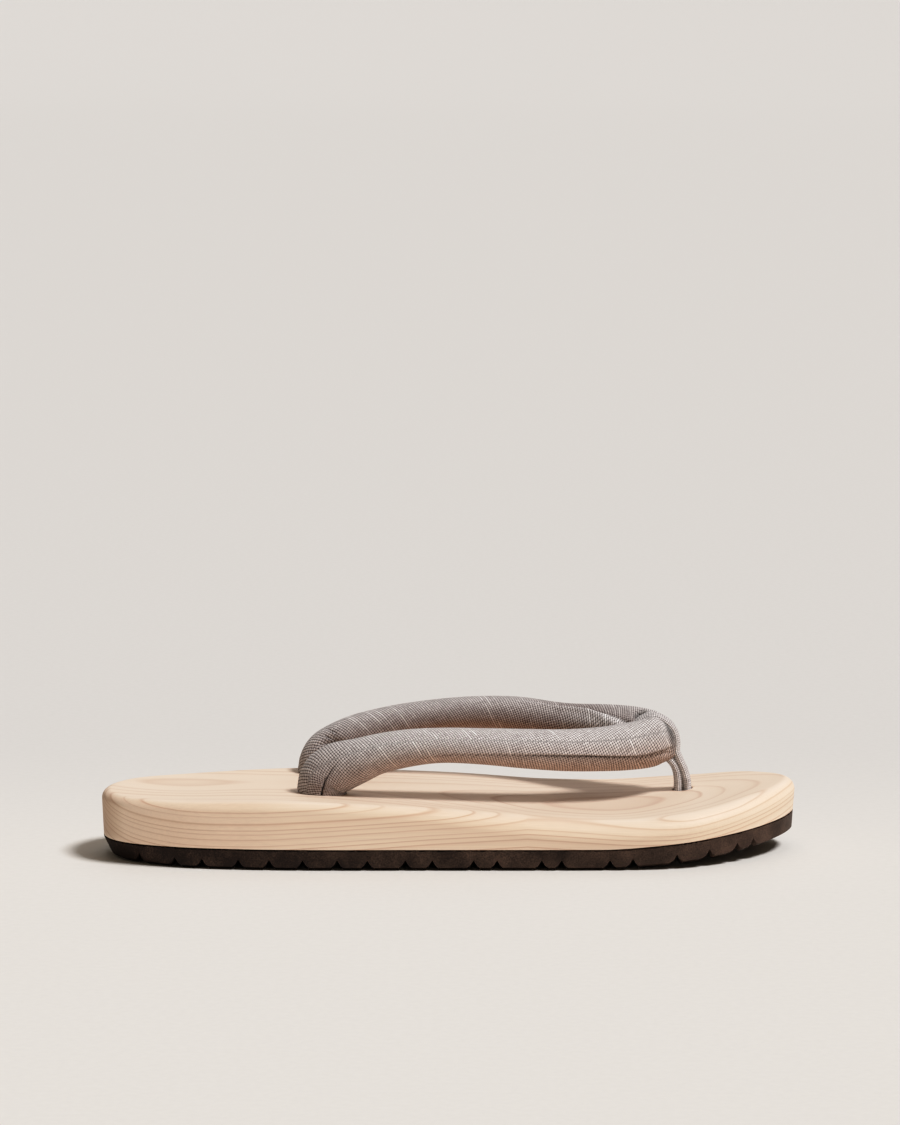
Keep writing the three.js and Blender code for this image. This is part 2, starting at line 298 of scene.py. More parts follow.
def smooth_rows(xs: Sequence[float], ys: Sequence[float]) -> Callable[[np.ndarray], np.ndarray]:
    """Makes a smooth function of x through a table's rows, with slopes from the neighbours.

    Args:
        xs: Places of the rows, rising.
        ys: Value at each row.

    Returns:
        Function of places that gives the values there.
    """
    x, y = np.array(xs, float), np.array(ys, float)
    before = np.maximum(np.arange(len(x)) - 1, 0)
    after = np.minimum(np.arange(len(x)) + 1, len(x) - 1)
    slope = (y[after] - y[before]) / (x[after] - x[before])

    def value(at: np.ndarray) -> np.ndarray:
        """Gives the table's smooth value.

        Args:
            at: Places, held within the table.

        Returns:
            The value at each place.
        """
        held = np.clip(at, x[0], x[-1])
        i = np.clip(np.searchsorted(x, held) - 1, 0, len(x) - 2)
        span = x[i + 1] - x[i]
        t = (held - x[i]) / span
        rise = (y[i + 1] - y[i]) * smoothstep(t)
        leave = slope[i] * span * t * (1 - t) ** 2
        return y[i] + rise + leave + slope[i + 1] * span * t * t * (t - 1)

    return value


def grid_object(name: str, grid: np.ndarray, material: Material,
                uv: np.ndarray | None = None,
                marks: Mapping[str, np.ndarray] | None = None) -> Object:
    """Makes a closed smooth object from rings of equal length, with shared corners joined.

    Args:
        name: The object's name.
        grid: Points in millimetres, as rings by points by three.
        material: Finish of every face.
        uv: Optional map, as rings by points plus one by two, so that the seam has both values.
        marks: Optional values at each point that the finish reads by name.

    Returns:
        The new object, linked to the scene.
    """
    rings, count = grid.shape[:2]
    ring, point = np.meshgrid(np.arange(rings - 1), np.arange(count), indexing="ij")
    following = (point + 1) % count
    corners = [(ring, point), (ring, following), (ring + 1, following), (ring + 1, point)]
    faces = np.stack([r * count + p for r, p in corners], -1).reshape(-1, 4)
    mesh = bpy.data.meshes.new(name)
    mesh.from_pydata((grid.reshape(-1, 3) * MM).tolist(), [], faces.tolist())
    if uv is not None:
        flat = [(ring, point), (ring, point + 1), (ring + 1, point + 1), (ring + 1, point)]
        values = np.stack([uv[r, p] for r, p in flat], 2).reshape(-1, 2)
        layer = mesh.uv_layers.new(name="Cloth")
        layer.data.foreach_set("uv", values.astype(np.float32).ravel())
    for key, values in (marks or {}).items():
        mark = mesh.attributes.new(key, "FLOAT", "POINT")
        mark.data.foreach_set("value", values.astype(np.float32).ravel())
    shape = bmesh.new()
    shape.from_mesh(mesh)
    bmesh.ops.remove_doubles(shape, verts=shape.verts, dist=JOIN_DISTANCE)
    bmesh.ops.dissolve_degenerate(shape, edges=shape.edges, dist=JOIN_DISTANCE)
    bmesh.ops.recalc_face_normals(shape, faces=shape.faces)
    shape.to_mesh(mesh)
    shape.free()
    return finished_object(name, mesh, material)


def finished_object(name: str, mesh: bpy.types.Mesh,
                    material: Material) -> Object:
    """Links a mesh to the scene at the origin, smooth but for its sharp edges.

    Args:
        name: The object's name.
        mesh: The mesh, with its place in its points.
        material: Finish of every face.

    Returns:
        The new object.
    """
    mesh.materials.clear()
    mesh.materials.append(material)
    mesh.polygons.foreach_set("use_smooth", np.ones(len(mesh.polygons), bool))
    mesh.set_sharp_from_angle(angle=SMOOTH_ANGLE)
    piece = bpy.data.objects.new(name, mesh)
    bpy.context.scene.collection.objects.link(piece)
    return piece


def stand_for(piece: Object, node: str) -> None:
    """Seats a finished piece on the sandal in the place of a solid.

    Args:
        piece: The finished piece.
        node: Name of the solid that it stands for.
    """
    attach(piece, BODY)
    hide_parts(node)
    LOG.info("%s: %d faces, stands for %s", piece.name, len(piece.data.polygons), node)


@dataclass(frozen=True)
class SandedHinoki:
    """Hinoki cypress, planed and sanded, without varnish.

    Growth rings are thin pinkish-brown lines on cream wood. They are sheets round the tree's
    heart, which lay under the base, so they run along the sides, sweep up round the heel and
    draw long flames on the footbed. Sanding leaves it matte with a faint silk along the grain.
    The footbed has a paler tint that is a painted sheen, for the light it catches at a low angle.
    The heel end, which faces away from the key light, is painted darker: its cut-across end grain
    with painted shade on top.
    """

    earlywood: str = "#f0dcc7"
    latewood: str = "#b98a6b"
    blush: str = "#e9cdb4"
    # Painted sheen: the footbed's paler tint, and how much of it shows
    painted_sheen_tint: str = "#f2e1d2"
    painted_sheen_share: float = 0.3
    # Painted shade on the heel end, which faces away from the key light, over its darker end grain
    end_grain_and_shade: str = "#d0c0b0"
    # Rings: their pitch, the heart's place, and how it swings and bows along the sole
    ring_pitch: float = 2.0
    heart_y: float = -8.0
    heart_z: float = -79.1
    swing: float = -0.15
    bow: float = 0.32
    bow_from: float = 30.0
    # Waves that bend the rings, slow and quick, and how far each does
    long_wave: Streaks = Streaks(150.0, 44.0, 70.0, layer_strength=0.4)
    wander: float = 0.8
    short_wave: Streaks = Streaks(34.0, 12.0, 12.0)
    ripple: float = 0.35
    # Years of different width, and the line that each year leaves
    season_pace: float = 0.45
    season_swing: float = 1.1
    line_ramp: tuple[tuple[float, float], ...] = (
        (0.0, 0.1), (0.45, 0.05), (0.76, 0.26), (0.9, 1.0), (1.0, 0.14))
    line_strength: tuple[float, float] = (0.38, 0.85)
    line_relief: float = 0.35
    # Blushes and fibres along the grain
    cloud: Streaks = Streaks(90.0, 30.0, 12.0, layers=1.0)
    fibre: Streaks = Streaks(38.0, 0.45, 0.45, layers=3.0, layer_strength=0.6)
    fibre_range: tuple[float, float] = (0.25, 0.75)
    fibre_tone: tuple[float, float] = (0.94, 1.05)
    bump: tuple[float, float] = (0.25, 0.05)
    roughness: float = 0.55
    ior: float = 1.5

    def ring_lines(self, tree: NodeTree, place: NodeSocket, waves: Node, ripples: Node) -> Node:
        """Draws the lines of the growth rings.

        Args:
            tree: The material's tree.
            place: Socket of the places in the wood.
            waves: Slow pattern that bends the rings.
            ripples: Quick pattern that bends them again.

        Returns:
            Node with the strength of the line at each place.
        """
        x, y, z = add_node(tree, "ShaderNodeSeparateXYZ", {0: place}).outputs
        start = self.bow_from * MM
        swung = add_node(tree, "ShaderNodeMath", {
            0: x, 1: -self.swing, 2: y}, operation="MULTIPLY_ADD")
        beyond = add_node(tree, "ShaderNodeMapRange", {
            "Value": x, "From Min": start, "From Max": 1.0, "To Max": self.bow * (1.0 - start)})
        bowed = add_node(tree, "ShaderNodeMath", {0: swung, 1: beyond}, operation="SUBTRACT")
        side, height = (add_node(tree, "ShaderNodeMath", {0: at, 1: heart * MM}, operation="SUBTRACT")
                        for at, heart in ((bowed, self.heart_y), (z, self.heart_z)))
        across = add_node(tree, "ShaderNodeCombineXYZ", {"X": side, "Y": height})
        radius = add_node(tree, "ShaderNodeVectorMath", {0: across}, operation="LENGTH")
        sway = add_node(tree, "ShaderNodeMath", {0: waves, 1: NOISE_MIDDLE}, operation="SUBTRACT")
        bent = radius.outputs["Value"]
        for wave, reach in ((sway, self.wander), (ripples, self.ripple)):
            bent = add_node(tree, "ShaderNodeMath", {
                0: wave, 1: reach * MM, 2: bent}, operation="MULTIPLY_ADD")
        count = add_node(tree, "ShaderNodeMath", {
            0: bent, 1: self.ring_pitch * MM}, operation="DIVIDE")
        seasons = add_node(tree, "ShaderNodeTexNoise", {
            "W": count, "Scale": self.season_pace, "Detail": 0.0}, noise_dimensions="1D")
        years = add_node(tree, "ShaderNodeMath", {
            0: seasons, 1: self.season_swing, 2: count}, operation="MULTIPLY_ADD")
        year, phase = (add_node(tree, "ShaderNodeMath", {0: years}, operation=part)
                       for part in ("FLOOR", "FRACT"))
        vigour = add_node(tree, "ShaderNodeTexWhiteNoise", {"W": year}, noise_dimensions="1D")
        line = add_node(tree, "ShaderNodeValToRGB", {0: phase})
        stops = line.color_ramp.elements
        for i, (position, grey) in enumerate(self.line_ramp):
            stop = stops[i] if position in (0.0, 1.0) else stops.new(position)
            stop.color = (grey, grey, grey, 1.0)
        strength = add_node(tree, "ShaderNodeMapRange", {
            "Value": vigour, "To Min": self.line_strength[0], "To Max": self.line_strength[1]})
        return add_node(tree, "ShaderNodeMath", {0: line, 1: strength}, operation="MULTIPLY")

    def material(self) -> Material:
        """Builds the wood's node material.

        Returns:
            The material.
        """
        material, tree = new_material("hinoki_sanded")
        place = add_node(tree, "ShaderNodeTexCoord").outputs["Object"]
        patterns = []
        for streaks in (self.long_wave, self.short_wave, self.fibre, self.cloud):
            scale = tuple(1 / (size * MM) for size in (streaks.x, streaks.y, streaks.z))
            mapped = add_node(tree, "ShaderNodeMapping", {"Vector": place, "Scale": scale})
            patterns.append(add_node(tree, "ShaderNodeTexNoise", {
                "Vector": mapped, "Scale": 1.0, "Detail": streaks.layers,
                "Roughness": streaks.layer_strength}))
        waves, ripples, fibres, clouds = patterns
        lines = self.ring_lines(tree, place, waves, ripples)
        grain = add_node(tree, "ShaderNodeMapRange", {
            "Value": fibres, "From Min": self.fibre_range[0], "From Max": self.fibre_range[1],
            "To Min": self.fibre_tone[0], "To Max": self.fibre_tone[1]})
        # Marks of the base: the footbed's painted sheen, and the heel end's painted shade over its end
        # grain
        footbed, end_grain_and_shade_share = (add_node(tree, "ShaderNodeAttribute", attribute_name=name).outputs["Fac"]
                               for name in ("footbed", "end_grain_and_shade"))
        sanded = add_node(tree, "ShaderNodeMath", {
            0: footbed, 1: self.painted_sheen_share}, operation="MULTIPLY")
        colour = linear(self.earlywood)
        for share, tint, blend in (
                (clouds, linear(self.blush), "MIX"), (lines, linear(self.latewood), "MIX"),
                (1.0, grain, "MULTIPLY"), (sanded, linear(self.painted_sheen_tint), "MIX"),
                (end_grain_and_shade_share, linear(self.end_grain_and_shade), "MULTIPLY")):
            layer = add_node(tree, "ShaderNodeMix", {0: share, MIX_A: colour, MIX_B: tint},
                             data_type="RGBA", blend_type=blend)
            colour = layer.outputs[MIX_RESULT]
        relief = add_node(tree, "ShaderNodeMath", {
            0: lines, 1: self.line_relief, 2: fibres}, operation="MULTIPLY_ADD")
        dress(tree, colour, relief, self.bump, {"Roughness": self.roughness, "IOR": self.ior})
        return material


@dataclass(frozen=True)
class SoleRubber:
    """Dark brown sole rubber, pressed in sheet and trimmed on the machine.

    The trimmed edge is matte with a fine dusty grit, a shade lighter towards the toe, and it
    gives a broad dull gloss towards the light.
    """

    deep: str = "#251a15"
    dusty: str = "#56453b"
    half_length: float = 137.0
    grit: float = 0.5
    patch: float = 9.0
    toe_lightening: tuple[float, float] = (-0.14, 0.07)
    dust_range: tuple[float, float] = (0.1, 0.42)
    bump: tuple[float, float] = (0.5, 0.12)
    roughness: float = 0.62
    ior: float = 1.5
    specular: float = 0.3

    def material(self) -> Material:
        """Builds the rubber's node material.

        Returns:
            The material.
        """
        material, tree = new_material("sole_rubber_trimmed")
        place = add_node(tree, "ShaderNodeTexCoord").outputs["Object"]
        grains, patches = (add_node(tree, "ShaderNodeTexNoise", {
            "Vector": place, "Scale": 1 / (size * MM), "Detail": layers})
            for size, layers in ((self.grit, 2.0), (self.patch, 3.0)))
        both = add_node(tree, "ShaderNodeMath", {0: grains, 1: patches}, operation="MULTIPLY")
        # Drawn a shade lighter from the heel towards the toe
        x = add_node(tree, "ShaderNodeSeparateXYZ", {0: place}).outputs["X"]
        toe_lightening_share = add_node(tree, "ShaderNodeMapRange", {
            "Value": x, "From Min": -self.half_length * MM, "From Max": self.half_length * MM,
            "To Min": self.toe_lightening[0], "To Max": self.toe_lightening[1]})
        dust_and_toe_lightening = add_node(tree, "ShaderNodeMath", {0: both, 1: toe_lightening_share}, operation="ADD")
        dust = add_node(tree, "ShaderNodeMapRange", {
            "Value": dust_and_toe_lightening, "From Min": self.dust_range[0], "From Max": self.dust_range[1]})
        mixed = add_node(tree, "ShaderNodeMix", {
            0: dust, MIX_A: linear(self.deep), MIX_B: linear(self.dusty)}, data_type="RGBA")
        colour = mixed.outputs[MIX_RESULT]
        dress(tree, colour, grains, self.bump, {
            "Roughness": self.roughness, "IOR": self.ior, "Specular IOR Level": self.specular})
        return material


@dataclass(frozen=True)
class MelangeLinen:
    """Grey melange linen in plain weave.

    Each yarn goes over one and under the next, and mixes pale and dark fibres, so the cloth
    is a fine pepper of light knuckles and dark gaps, whose dark is painted shade. Thick slubs
    show as thin pale dashes along a yarn. The yarns are drawn about twice as coarse as in real
    shirting linen, so that they show. The marks on the cloth add painted light and shade: the
    wood's warm light from below, the dim space between the arms and the dark of the folds.
    """

    name: str = "linen_melange_plain_weave"
    pale: str = "#f8f3f1"
    dark: str = "#c2bab8"
    slub: str = "#fffcfa"
    # Painted shade in the gaps between the yarns
    gap: str = "#2b2326"
    # Painted shade at the bottom of the folds and in the hollows
    fold: str = "#1d1714"
    # Painted warm light from the wood below, and painted dim on the sides and by the roots
    warm: str = "#e2c3b0"
    dim: str = "#b3a6a2"
    # Yarns: their pitch, the turn of the weave on the arm, and how far it strays
    yarn: float = 1.0
    bias: float = 24.0
    bow_scale: float = 0.06
    bow: float = 1.6
    tone_roughness: float = 0.7
    tone_range: tuple[float, float] = (0.3, 0.7)
    low_weft: float = 0.5
    knuckle_share: float = 0.55
    gap_range: tuple[float, float] = (0.2, 0.95)
    # Slubs: their length, which yarns have them, on which part, and how thin they are
    slub_length: float = 9.0
    slub_pick: tuple[float, float] = (0.91, 0.93)
    slub_part: tuple[float, float] = (0.4, 0.54)
    slub_taper: float = 1.5
    bump: tuple[float, float] = (0.7, 0.26)
    roughness: float = 0.9
    ior: float = 1.4
    specular: float = 0.15
    sheen: float = 0.25
    sheen_roughness: float = 0.5

    def material(self) -> Material:
        """Builds the linen's node material on the cloth's own map, which is in metres.

        Returns:
            The material.
        """
        material, tree = new_material(self.name)
        chart = add_node(tree, "ShaderNodeUVMap", uv_map="Cloth")
        turned = add_node(tree, "ShaderNodeMapping", {
            "Vector": chart, "Rotation": (0.0, 0.0, math.radians(self.bias)),
            "Scale": (1 / (self.yarn * MM),) * 3})
        bow = add_node(tree, "ShaderNodeTexNoise", {
            "Vector": turned, "Scale": self.bow_scale, "Detail": 2.0})
        drift = add_node(tree, "ShaderNodeVectorMath", {
            0: bow.outputs["Color"], 1: (self.bow, self.bow, 0.0), 2: turned},
            operation="MULTIPLY_ADD")
        warp, weft, _ = add_node(tree, "ShaderNodeSeparateXYZ", {0: drift}).outputs
        numbers, tones, knuckles = [], [], []
        for across, along in ((warp, weft), (weft, warp)):
            number, share = (add_node(tree, "ShaderNodeMath", {0: across}, operation=part)
                             for part in ("FLOOR", "FRACT"))
            run = add_node(tree, "ShaderNodeMath", {
                0: along, 1: self.yarn / self.slub_length}, operation="MULTIPLY")
            thread = add_node(tree, "ShaderNodeCombineXYZ", {"X": number, "Y": run})
            numbers.append(number)
            tones.append(add_node(tree, "ShaderNodeTexNoise", {
                "Vector": thread, "Scale": 1.0, "Detail": 2.0, "Roughness": self.tone_roughness}))
            arch = add_node(tree, "ShaderNodeMath", {0: share, 1: math.pi}, operation="MULTIPLY")
            knuckles.append(add_node(tree, "ShaderNodeMath", {0: arch}, operation="SINE"))
        over = add_node(tree, "ShaderNodeTexChecker", {
            "Vector": drift, "Color1": (1, 1, 1, 1), "Color2": (0, 0, 0, 1), "Scale": 1.0})
        yarns, heights = (add_node(tree, "ShaderNodeMix", {0: over.outputs["Fac"], 2: one, 3: other})
                          for one, other in (tones, knuckles))
        low_weft = add_node(tree, "ShaderNodeMath", {
            0: knuckles[1], 1: self.low_weft}, operation="POWER")
        crossing = add_node(tree, "ShaderNodeMath", {
            0: knuckles[0], 1: low_weft}, operation="MULTIPLY")
        relief = add_node(tree, "ShaderNodeMath", {
            0: heights, 1: self.knuckle_share, 2: crossing}, operation="MULTIPLY_ADD")
        pick = add_node(tree, "ShaderNodeTexWhiteNoise", {"W": numbers[0]}, noise_dimensions="1D")
        thick, part, melange, solid = (
            add_node(tree, "ShaderNodeMapRange", {"Value": value, "From Min": low, "From Max": high})
            for value, (low, high) in ((pick, self.slub_pick), (tones[0], self.slub_part),
                                       (yarns, self.tone_range), (relief, self.gap_range)))
        core = add_node(tree, "ShaderNodeMath", {
            0: knuckles[0], 1: self.slub_taper}, operation="POWER")
        dash = add_node(tree, "ShaderNodeMath", {0: thick, 1: part}, operation="MULTIPLY")
        slub = add_node(tree, "ShaderNodeMath", {0: dash, 1: core}, operation="MULTIPLY")
        filled = add_node(tree, "ShaderNodeMath", {0: solid, 1: slub}, operation="MAXIMUM")
        cloth = linear(self.dark)
        for share, tint in ((melange, self.pale), (slub, self.slub)):
            layer = add_node(tree, "ShaderNodeMix", {
                0: share, MIX_A: cloth, MIX_B: linear(tint)}, data_type="RGBA")
            cloth = layer.outputs[MIX_RESULT]
        # Painted shade in the gaps, where the yarns' knuckles are low
        woven = add_node(tree, "ShaderNodeMix", {
            0: filled, MIX_A: linear(self.gap), MIX_B: cloth}, data_type="RGBA")
        cloth = woven.outputs[MIX_RESULT]
        # Painted warm light, painted dim and painted shade of the folds, from the marks on the cloth
        for key, tint, blend in (("warm", self.warm, "MULTIPLY"), ("dim", self.dim, "MULTIPLY"),
                                 ("fold", self.fold, "MIX")):
            mark = add_node(tree, "ShaderNodeAttribute", attribute_name=key)
            layer = add_node(tree, "ShaderNodeMix", {
                0: mark.outputs["Fac"], MIX_A: cloth, MIX_B: linear(tint)},
                data_type="RGBA", blend_type=blend)
            cloth = layer.outputs[MIX_RESULT]
        dress(tree, cloth, relief, self.bump, {
            "Roughness": self.roughness, "IOR": self.ior, "Specular IOR Level": self.specular,
            "Sheen Weight": self.sheen, "Sheen Roughness": self.sheen_roughness})
        return material


@dataclass(frozen=True)
class PaperSweep:
    """Warm white studio paper, matte, with the faint tooth of its fibres.

    Light falls off behind the sandal, so the paper is a shade darker there.
    """

    tone: str = "#e7e3dd"
    back_tone: str = "#dcd9d5"
    back: tuple[float, float] = (-60.0, 280.0)
    tooth: float = 1.2
    mottle: float = 3.0
    mottle_range: tuple[float, float] = (0.3, 0.7)
    mottle_tone: tuple[float, float] = (0.985, 1.015)
    bump: tuple[float, float] = (0.15, 0.1)
    roughness: float = 0.9
    specular: float = 0.2

    def material(self) -> Material:
        """Builds the paper's node material.

        Returns:
            The material.
        """
        material, tree = new_material("studio_paper")
        place = add_node(tree, "ShaderNodeTexCoord").outputs["Object"]
        fibres, specks = (add_node(tree, "ShaderNodeTexNoise", {
            "Vector": place, "Scale": 1 / (size * MM), "Detail": layers})
            for size, layers in ((self.tooth, 2.0), (self.mottle, 3.0)))
        y = add_node(tree, "ShaderNodeSeparateXYZ", {0: place}).outputs["Y"]
        back = add_node(tree, "ShaderNodeMapRange", {
            "Value": y, "From Min": self.back[0] * MM, "From Max": self.back[1] * MM},
            interpolation_type="SMOOTHSTEP")
        mottle = add_node(tree, "ShaderNodeMapRange", {
            "Value": specks, "From Min": self.mottle_range[0], "From Max": self.mottle_range[1],
            "To Min": self.mottle_tone[0], "To Max": self.mottle_tone[1]})
        colour = linear(self.tone)
        for share, tint, blend in ((back, linear(self.back_tone), "MIX"), (1.0, mottle, "MULTIPLY")):
            layer = add_node(tree, "ShaderNodeMix", {0: share, MIX_A: colour, MIX_B: tint},
                             data_type="RGBA", blend_type=blend)
            colour = layer.outputs[MIX_RESULT]
        dress(tree, colour, fibres, self.bump, {
            "Roughness": self.roughness, "Specular IOR Level": self.specular})
        return material


class FootOutline:
    """Edge of the sole in plan, from the heel along the outer side to the toe and back."""

    HALF_LENGTH = 137.5
    HEEL_Y = -9.0
    TOE_Y = 8.0
    SPINE_SHARE = 0.76
    FINE_STEPS = 6000
    STATIONS = rows_of(
        EdgeRow,
        (-134.4, -24.0, 5.0), (-126.0, -34.4, 16.5), (-106.0, -43.6, 26.0), (-80.0, -48.4, 31.8),
        (-55.0, -50.0, 36.0), (-10.0, -50.0, 39.8), (30.0, -50.0, 43.2), (52.0, -49.8, 47.6),
        (74.0, -49.0, 50.0), (94.0, -45.0, 46.8), (112.0, -34.4, 39.6), (125.0, -21.4, 31.0),
        (134.0, -6.6, 20.0),
    )

    def __init__(self) -> None:
        """Draws the closed line through the stations."""
        outer = [(row.x, row.outer) for row in self.STATIONS]
        inner = [(row.x, row.inner) for row in reversed(self.STATIONS)]
        ends = [(-self.HALF_LENGTH, self.HEEL_Y)], [(self.HALF_LENGTH, self.TOE_Y)]
        self.line = SmoothLine([*ends[0], *outer, *ends[1], *inner], True, Spacing.CENTRIPETAL)

    def places(self, t: np.ndarray) -> tuple[np.ndarray, np.ndarray]:
        """Gives points of the edge and the directions that point out of the sole.

        Args:
            t: Shares of the way round, 0 at the heel and 0.5 at the toe.

        Returns:
            Points and outward directions, two columns each.
        """
        step = 1.0 / self.FINE_STEPS
        way = self.line((t + step) % 1.0) - self.line((t - step) % 1.0)
        way /= np.linalg.norm(way, axis=1)[:, None]
        return self.line(t), np.stack([way[:, 1], -way[:, 0]], 1)

    def at_x(self, xs: np.ndarray, side: Side) -> tuple[np.ndarray, np.ndarray]:
        """Gives the edge's points and outward directions at stations along the sole.

        Args:
            xs: Stations from heel to toe.
            side: Side of the foot.

        Returns:
            Points and outward directions, two columns each.
        """
        half = np.linspace(0.0, 0.5, self.FINE_STEPS)
        t = half if side is Side.OUTER else 1.0 - half
        reach = np.maximum.accumulate(self.line(t)[:, 0])
        at = np.interp(xs, reach, t)
        at[xs <= -self.HALF_LENGTH] = t[0]
        at[xs >= self.HALF_LENGTH] = t[-1]
        return self.places(at)

    def rings(self, count: int) -> tuple[np.ndarray, np.ndarray, np.ndarray]:
        """Gives the edge with, for each point, the middle point that it shares with its mate.

        Args:
            count: Number of points round the edge, even.

        Returns:
            Points, outward directions and middle points, two columns each.
        """
        t = np.arange(count) / count
        at, out = self.places(t)
        middle = (at + np.roll(at[::-1], 1, axis=0)) / 2
        middle[:, 0] *= self.SPINE_SHARE
        return at, out, middle


class SoleProfile:
    """Heights of the sole along its length."""

    RUBBER = 8.0
    TOE_SPRING = 6.6
    SPRING_START = 60.0
    SPRING_POWER = 1.3
    SEAM_INSET = 0.6
    SEAM_GAP = 0.3
    DISH = 0.8
    INNER_RISE = 1.1
    RISE_X = (-40.0, 20.0)
    RISE_Y = (-45.0, 35.0)
    BED = rows_of(
        BedRow,
        (-137.5, 26.0, 3.6), (-105.0, 26.0, 3.6), (-77.0, 26.7, 3.6), (-58.0, 26.7, 3.6),
        (-39.0, 26.0, 4.0), (-19.0, 25.0, 4.6), (0.0, 23.6, 5.6), (19.0, 22.0, 6.8), (39.0, 20.3, 7.4),
        (58.0, 19.3, 7.2), (70.0, 19.3, 7.0), (84.0, 20.3, 6.8), (100.0, 22.0, 6.6),
        (117.0, 24.6, 6.4), (129.0, 26.0, 6.0), (137.5, 26.9, 5.0),
    )

    def __init__(self) -> None:
        """Draws the smooth heights through the stations."""
        stations = [row.x for row in self.BED]
        self.top = smooth_rows(stations, [row.top for row in self.BED])
        self.edge_radius = smooth_rows(stations, [row.edge for row in self.BED])

    def footbed(self, at: np.ndarray) -> np.ndarray:
        """Gives the height of the footbed's rim, which rises a little to the inner side.

        Args:
            at: Places in plan, with two columns.

        Returns:
            Height at each place.
        """
        rise = self.INNER_RISE
        for value, (low, high) in zip(at.T, (self.RISE_X, self.RISE_Y)):
            rise = rise * smoothstep((value - low) / (high - low))
        return self.top(at[:, 0]) + rise

    def underside(self, x: np.ndarray) -> np.ndarray:
        """Gives the height of the tread: flat on the floor, then rising to the toe."""
        run = np.maximum(x - self.SPRING_START, 0.0) / (FootOutline.HALF_LENGTH - self.SPRING_START)
        return self.TOE_SPRING * run ** self.SPRING_POWER


@dataclass
class WoodBase:
    """Wooden base: straight sides, rounded top edge, dished footbed and three strap holes."""

    outline: FootOutline
    profile: SoleProfile
    finish: SandedHinoki
    edge_points: int = 560
    wall_rings: int = 8
    round_rings: int = 16
    bed_rings: int = 14
    rear_hole: float = 5.0
    toe_hole: tuple[float, float] = (4.2, 4.3)
    hole_sides: int = 48
    hole_depth: float = 30.0
    under_shares: tuple[float, ...] = (1.0, 0.7, 0.4, 0.15, 0.03)
    painted_sheen_slope: tuple[float, float] = (0.75, 0.95)
    end_grain_and_shade_slope: tuple[float, float] = (0.65, 1.0)

    def ring(self, inset: np.ndarray | float, share: float,
             height: Callable[[np.ndarray], np.ndarray]) -> np.ndarray:
        """Draws one ring of the base.

        Args:
            inset: Distance in from the edge, at each point or for all.
            share: Share of the way from there to the sole's middle line.
            height: Height at places in plan.

        Returns:
            Points with three columns.
        """
        at, out, middle = self.outline.rings(self.edge_points)
        flat = at - out * np.reshape(inset, (-1, 1))
        flat = flat + (middle - flat) * share
        return np.column_stack([flat, height(flat)])

    def rings(self) -> np.ndarray:
        """Draws the rings from the middle of the underside, up the side, to the footbed.

        Returns:
            Points as rings by points by three.
        """
        profile = self.profile
        radius = profile.edge_radius(self.outline.rings(self.edge_points)[0][:, 0])
        seam = profile.RUBBER + profile.SEAM_GAP

        def under(at: np.ndarray) -> np.ndarray:
            """Gives the height of the underside at places in plan."""
            return profile.underside(at[:, 0]) + seam

        rings = [self.ring(profile.SEAM_INSET, share, under) for share in self.under_shares]
        low = self.ring(profile.SEAM_INSET, 0.0, under)
        high = self.ring(0.0, 0.0, lambda at: profile.footbed(at) - radius)
        rings += [low + (high - low) * share for share in np.linspace(0.0, 1.0, self.wall_rings)]
        for angle in np.linspace(0.0, math.pi / 2, self.round_rings)[1:]:
            drop = 1.0 - math.sin(angle)
            rings.append(self.ring(radius * (1.0 - math.cos(angle)), 0.0,
                                   lambda at: profile.footbed(at) - radius * drop))
        for share in np.linspace(0.0, 1.0, self.bed_rings)[1:]:
            dish = profile.DISH * (1.0 - (1.0 - share) ** 2)
            rings.append(self.ring(radius, share, lambda at: profile.footbed(at) - dish))
        return np.array(rings)

    def build(self, holes: Iterable[tuple[float, float, float, float]]) -> Object:
        """Builds the base and drills its holes.

        Args:
            holes: Centre x and y, and half length and half width, of each hole.

        Returns:
            The finished base.
        """
        piece = grid_object("geta_wood_base", self.rings(), self.finish.material())
        for x, y, half_long, half_wide in holes:
            self.drill(piece, x, y, half_long, half_wide)
        normals = np.array([normal.vector for normal in piece.data.vertex_normals])
        # Marks where the footbed gets its painted sheen and the heel end its painted shade
        for name, facing, (low, high) in (("footbed", normals[:, 2], self.painted_sheen_slope),
                                          ("end_grain_and_shade", -normals[:, 0], self.end_grain_and_shade_slope)):
            share = np.clip((facing - low) / (high - low), 0.0, 1.0)
            mark = piece.data.attributes.new(name, "FLOAT", "POINT")
            mark.data.foreach_set("value", share.astype(np.float32))
        return piece

    def drill(self, piece: Object, x: float, y: float,
              half_long: float, half_wide: float) -> None:
        """Cuts one upright oval hole through the base.

        Args:
            piece: The base.
            x: Centre of the hole along the sole.
            y: Centre of the hole across the sole.
            half_long: Half its length along the sole.
            half_wide: Half its width across the sole.
        """
        angle = np.arange(self.hole_sides) * 2 * math.pi / self.hole_sides
        flat = np.column_stack([x + half_long * np.cos(angle), y + half_wide * np.sin(angle)])
        centre = np.tile([x, y], (self.hole_sides, 1))
        levels = [(centre, 0.0), (flat, 0.0), (flat, self.hole_depth), (centre, self.hole_depth)]
        grid = np.array([np.column_stack([ring, np.full(self.hole_sides, z)]) for ring, z in levels])
        bit = grid_object("bit", grid, piece.data.materials[0])
        cut = piece.modifiers.new("hole", "BOOLEAN")
        cut.operation = "DIFFERENCE"
        cut.solver = "EXACT"
        cut.object = bit
        graph = bpy.context.evaluated_depsgraph_get()
        mesh = bpy.data.meshes.new_from_object(piece.evaluated_get(graph))
        piece.modifiers.clear()
        piece.data = mesh
        mesh.set_sharp_from_angle(angle=SMOOTH_ANGLE)
        bpy.data.objects.remove(bit)


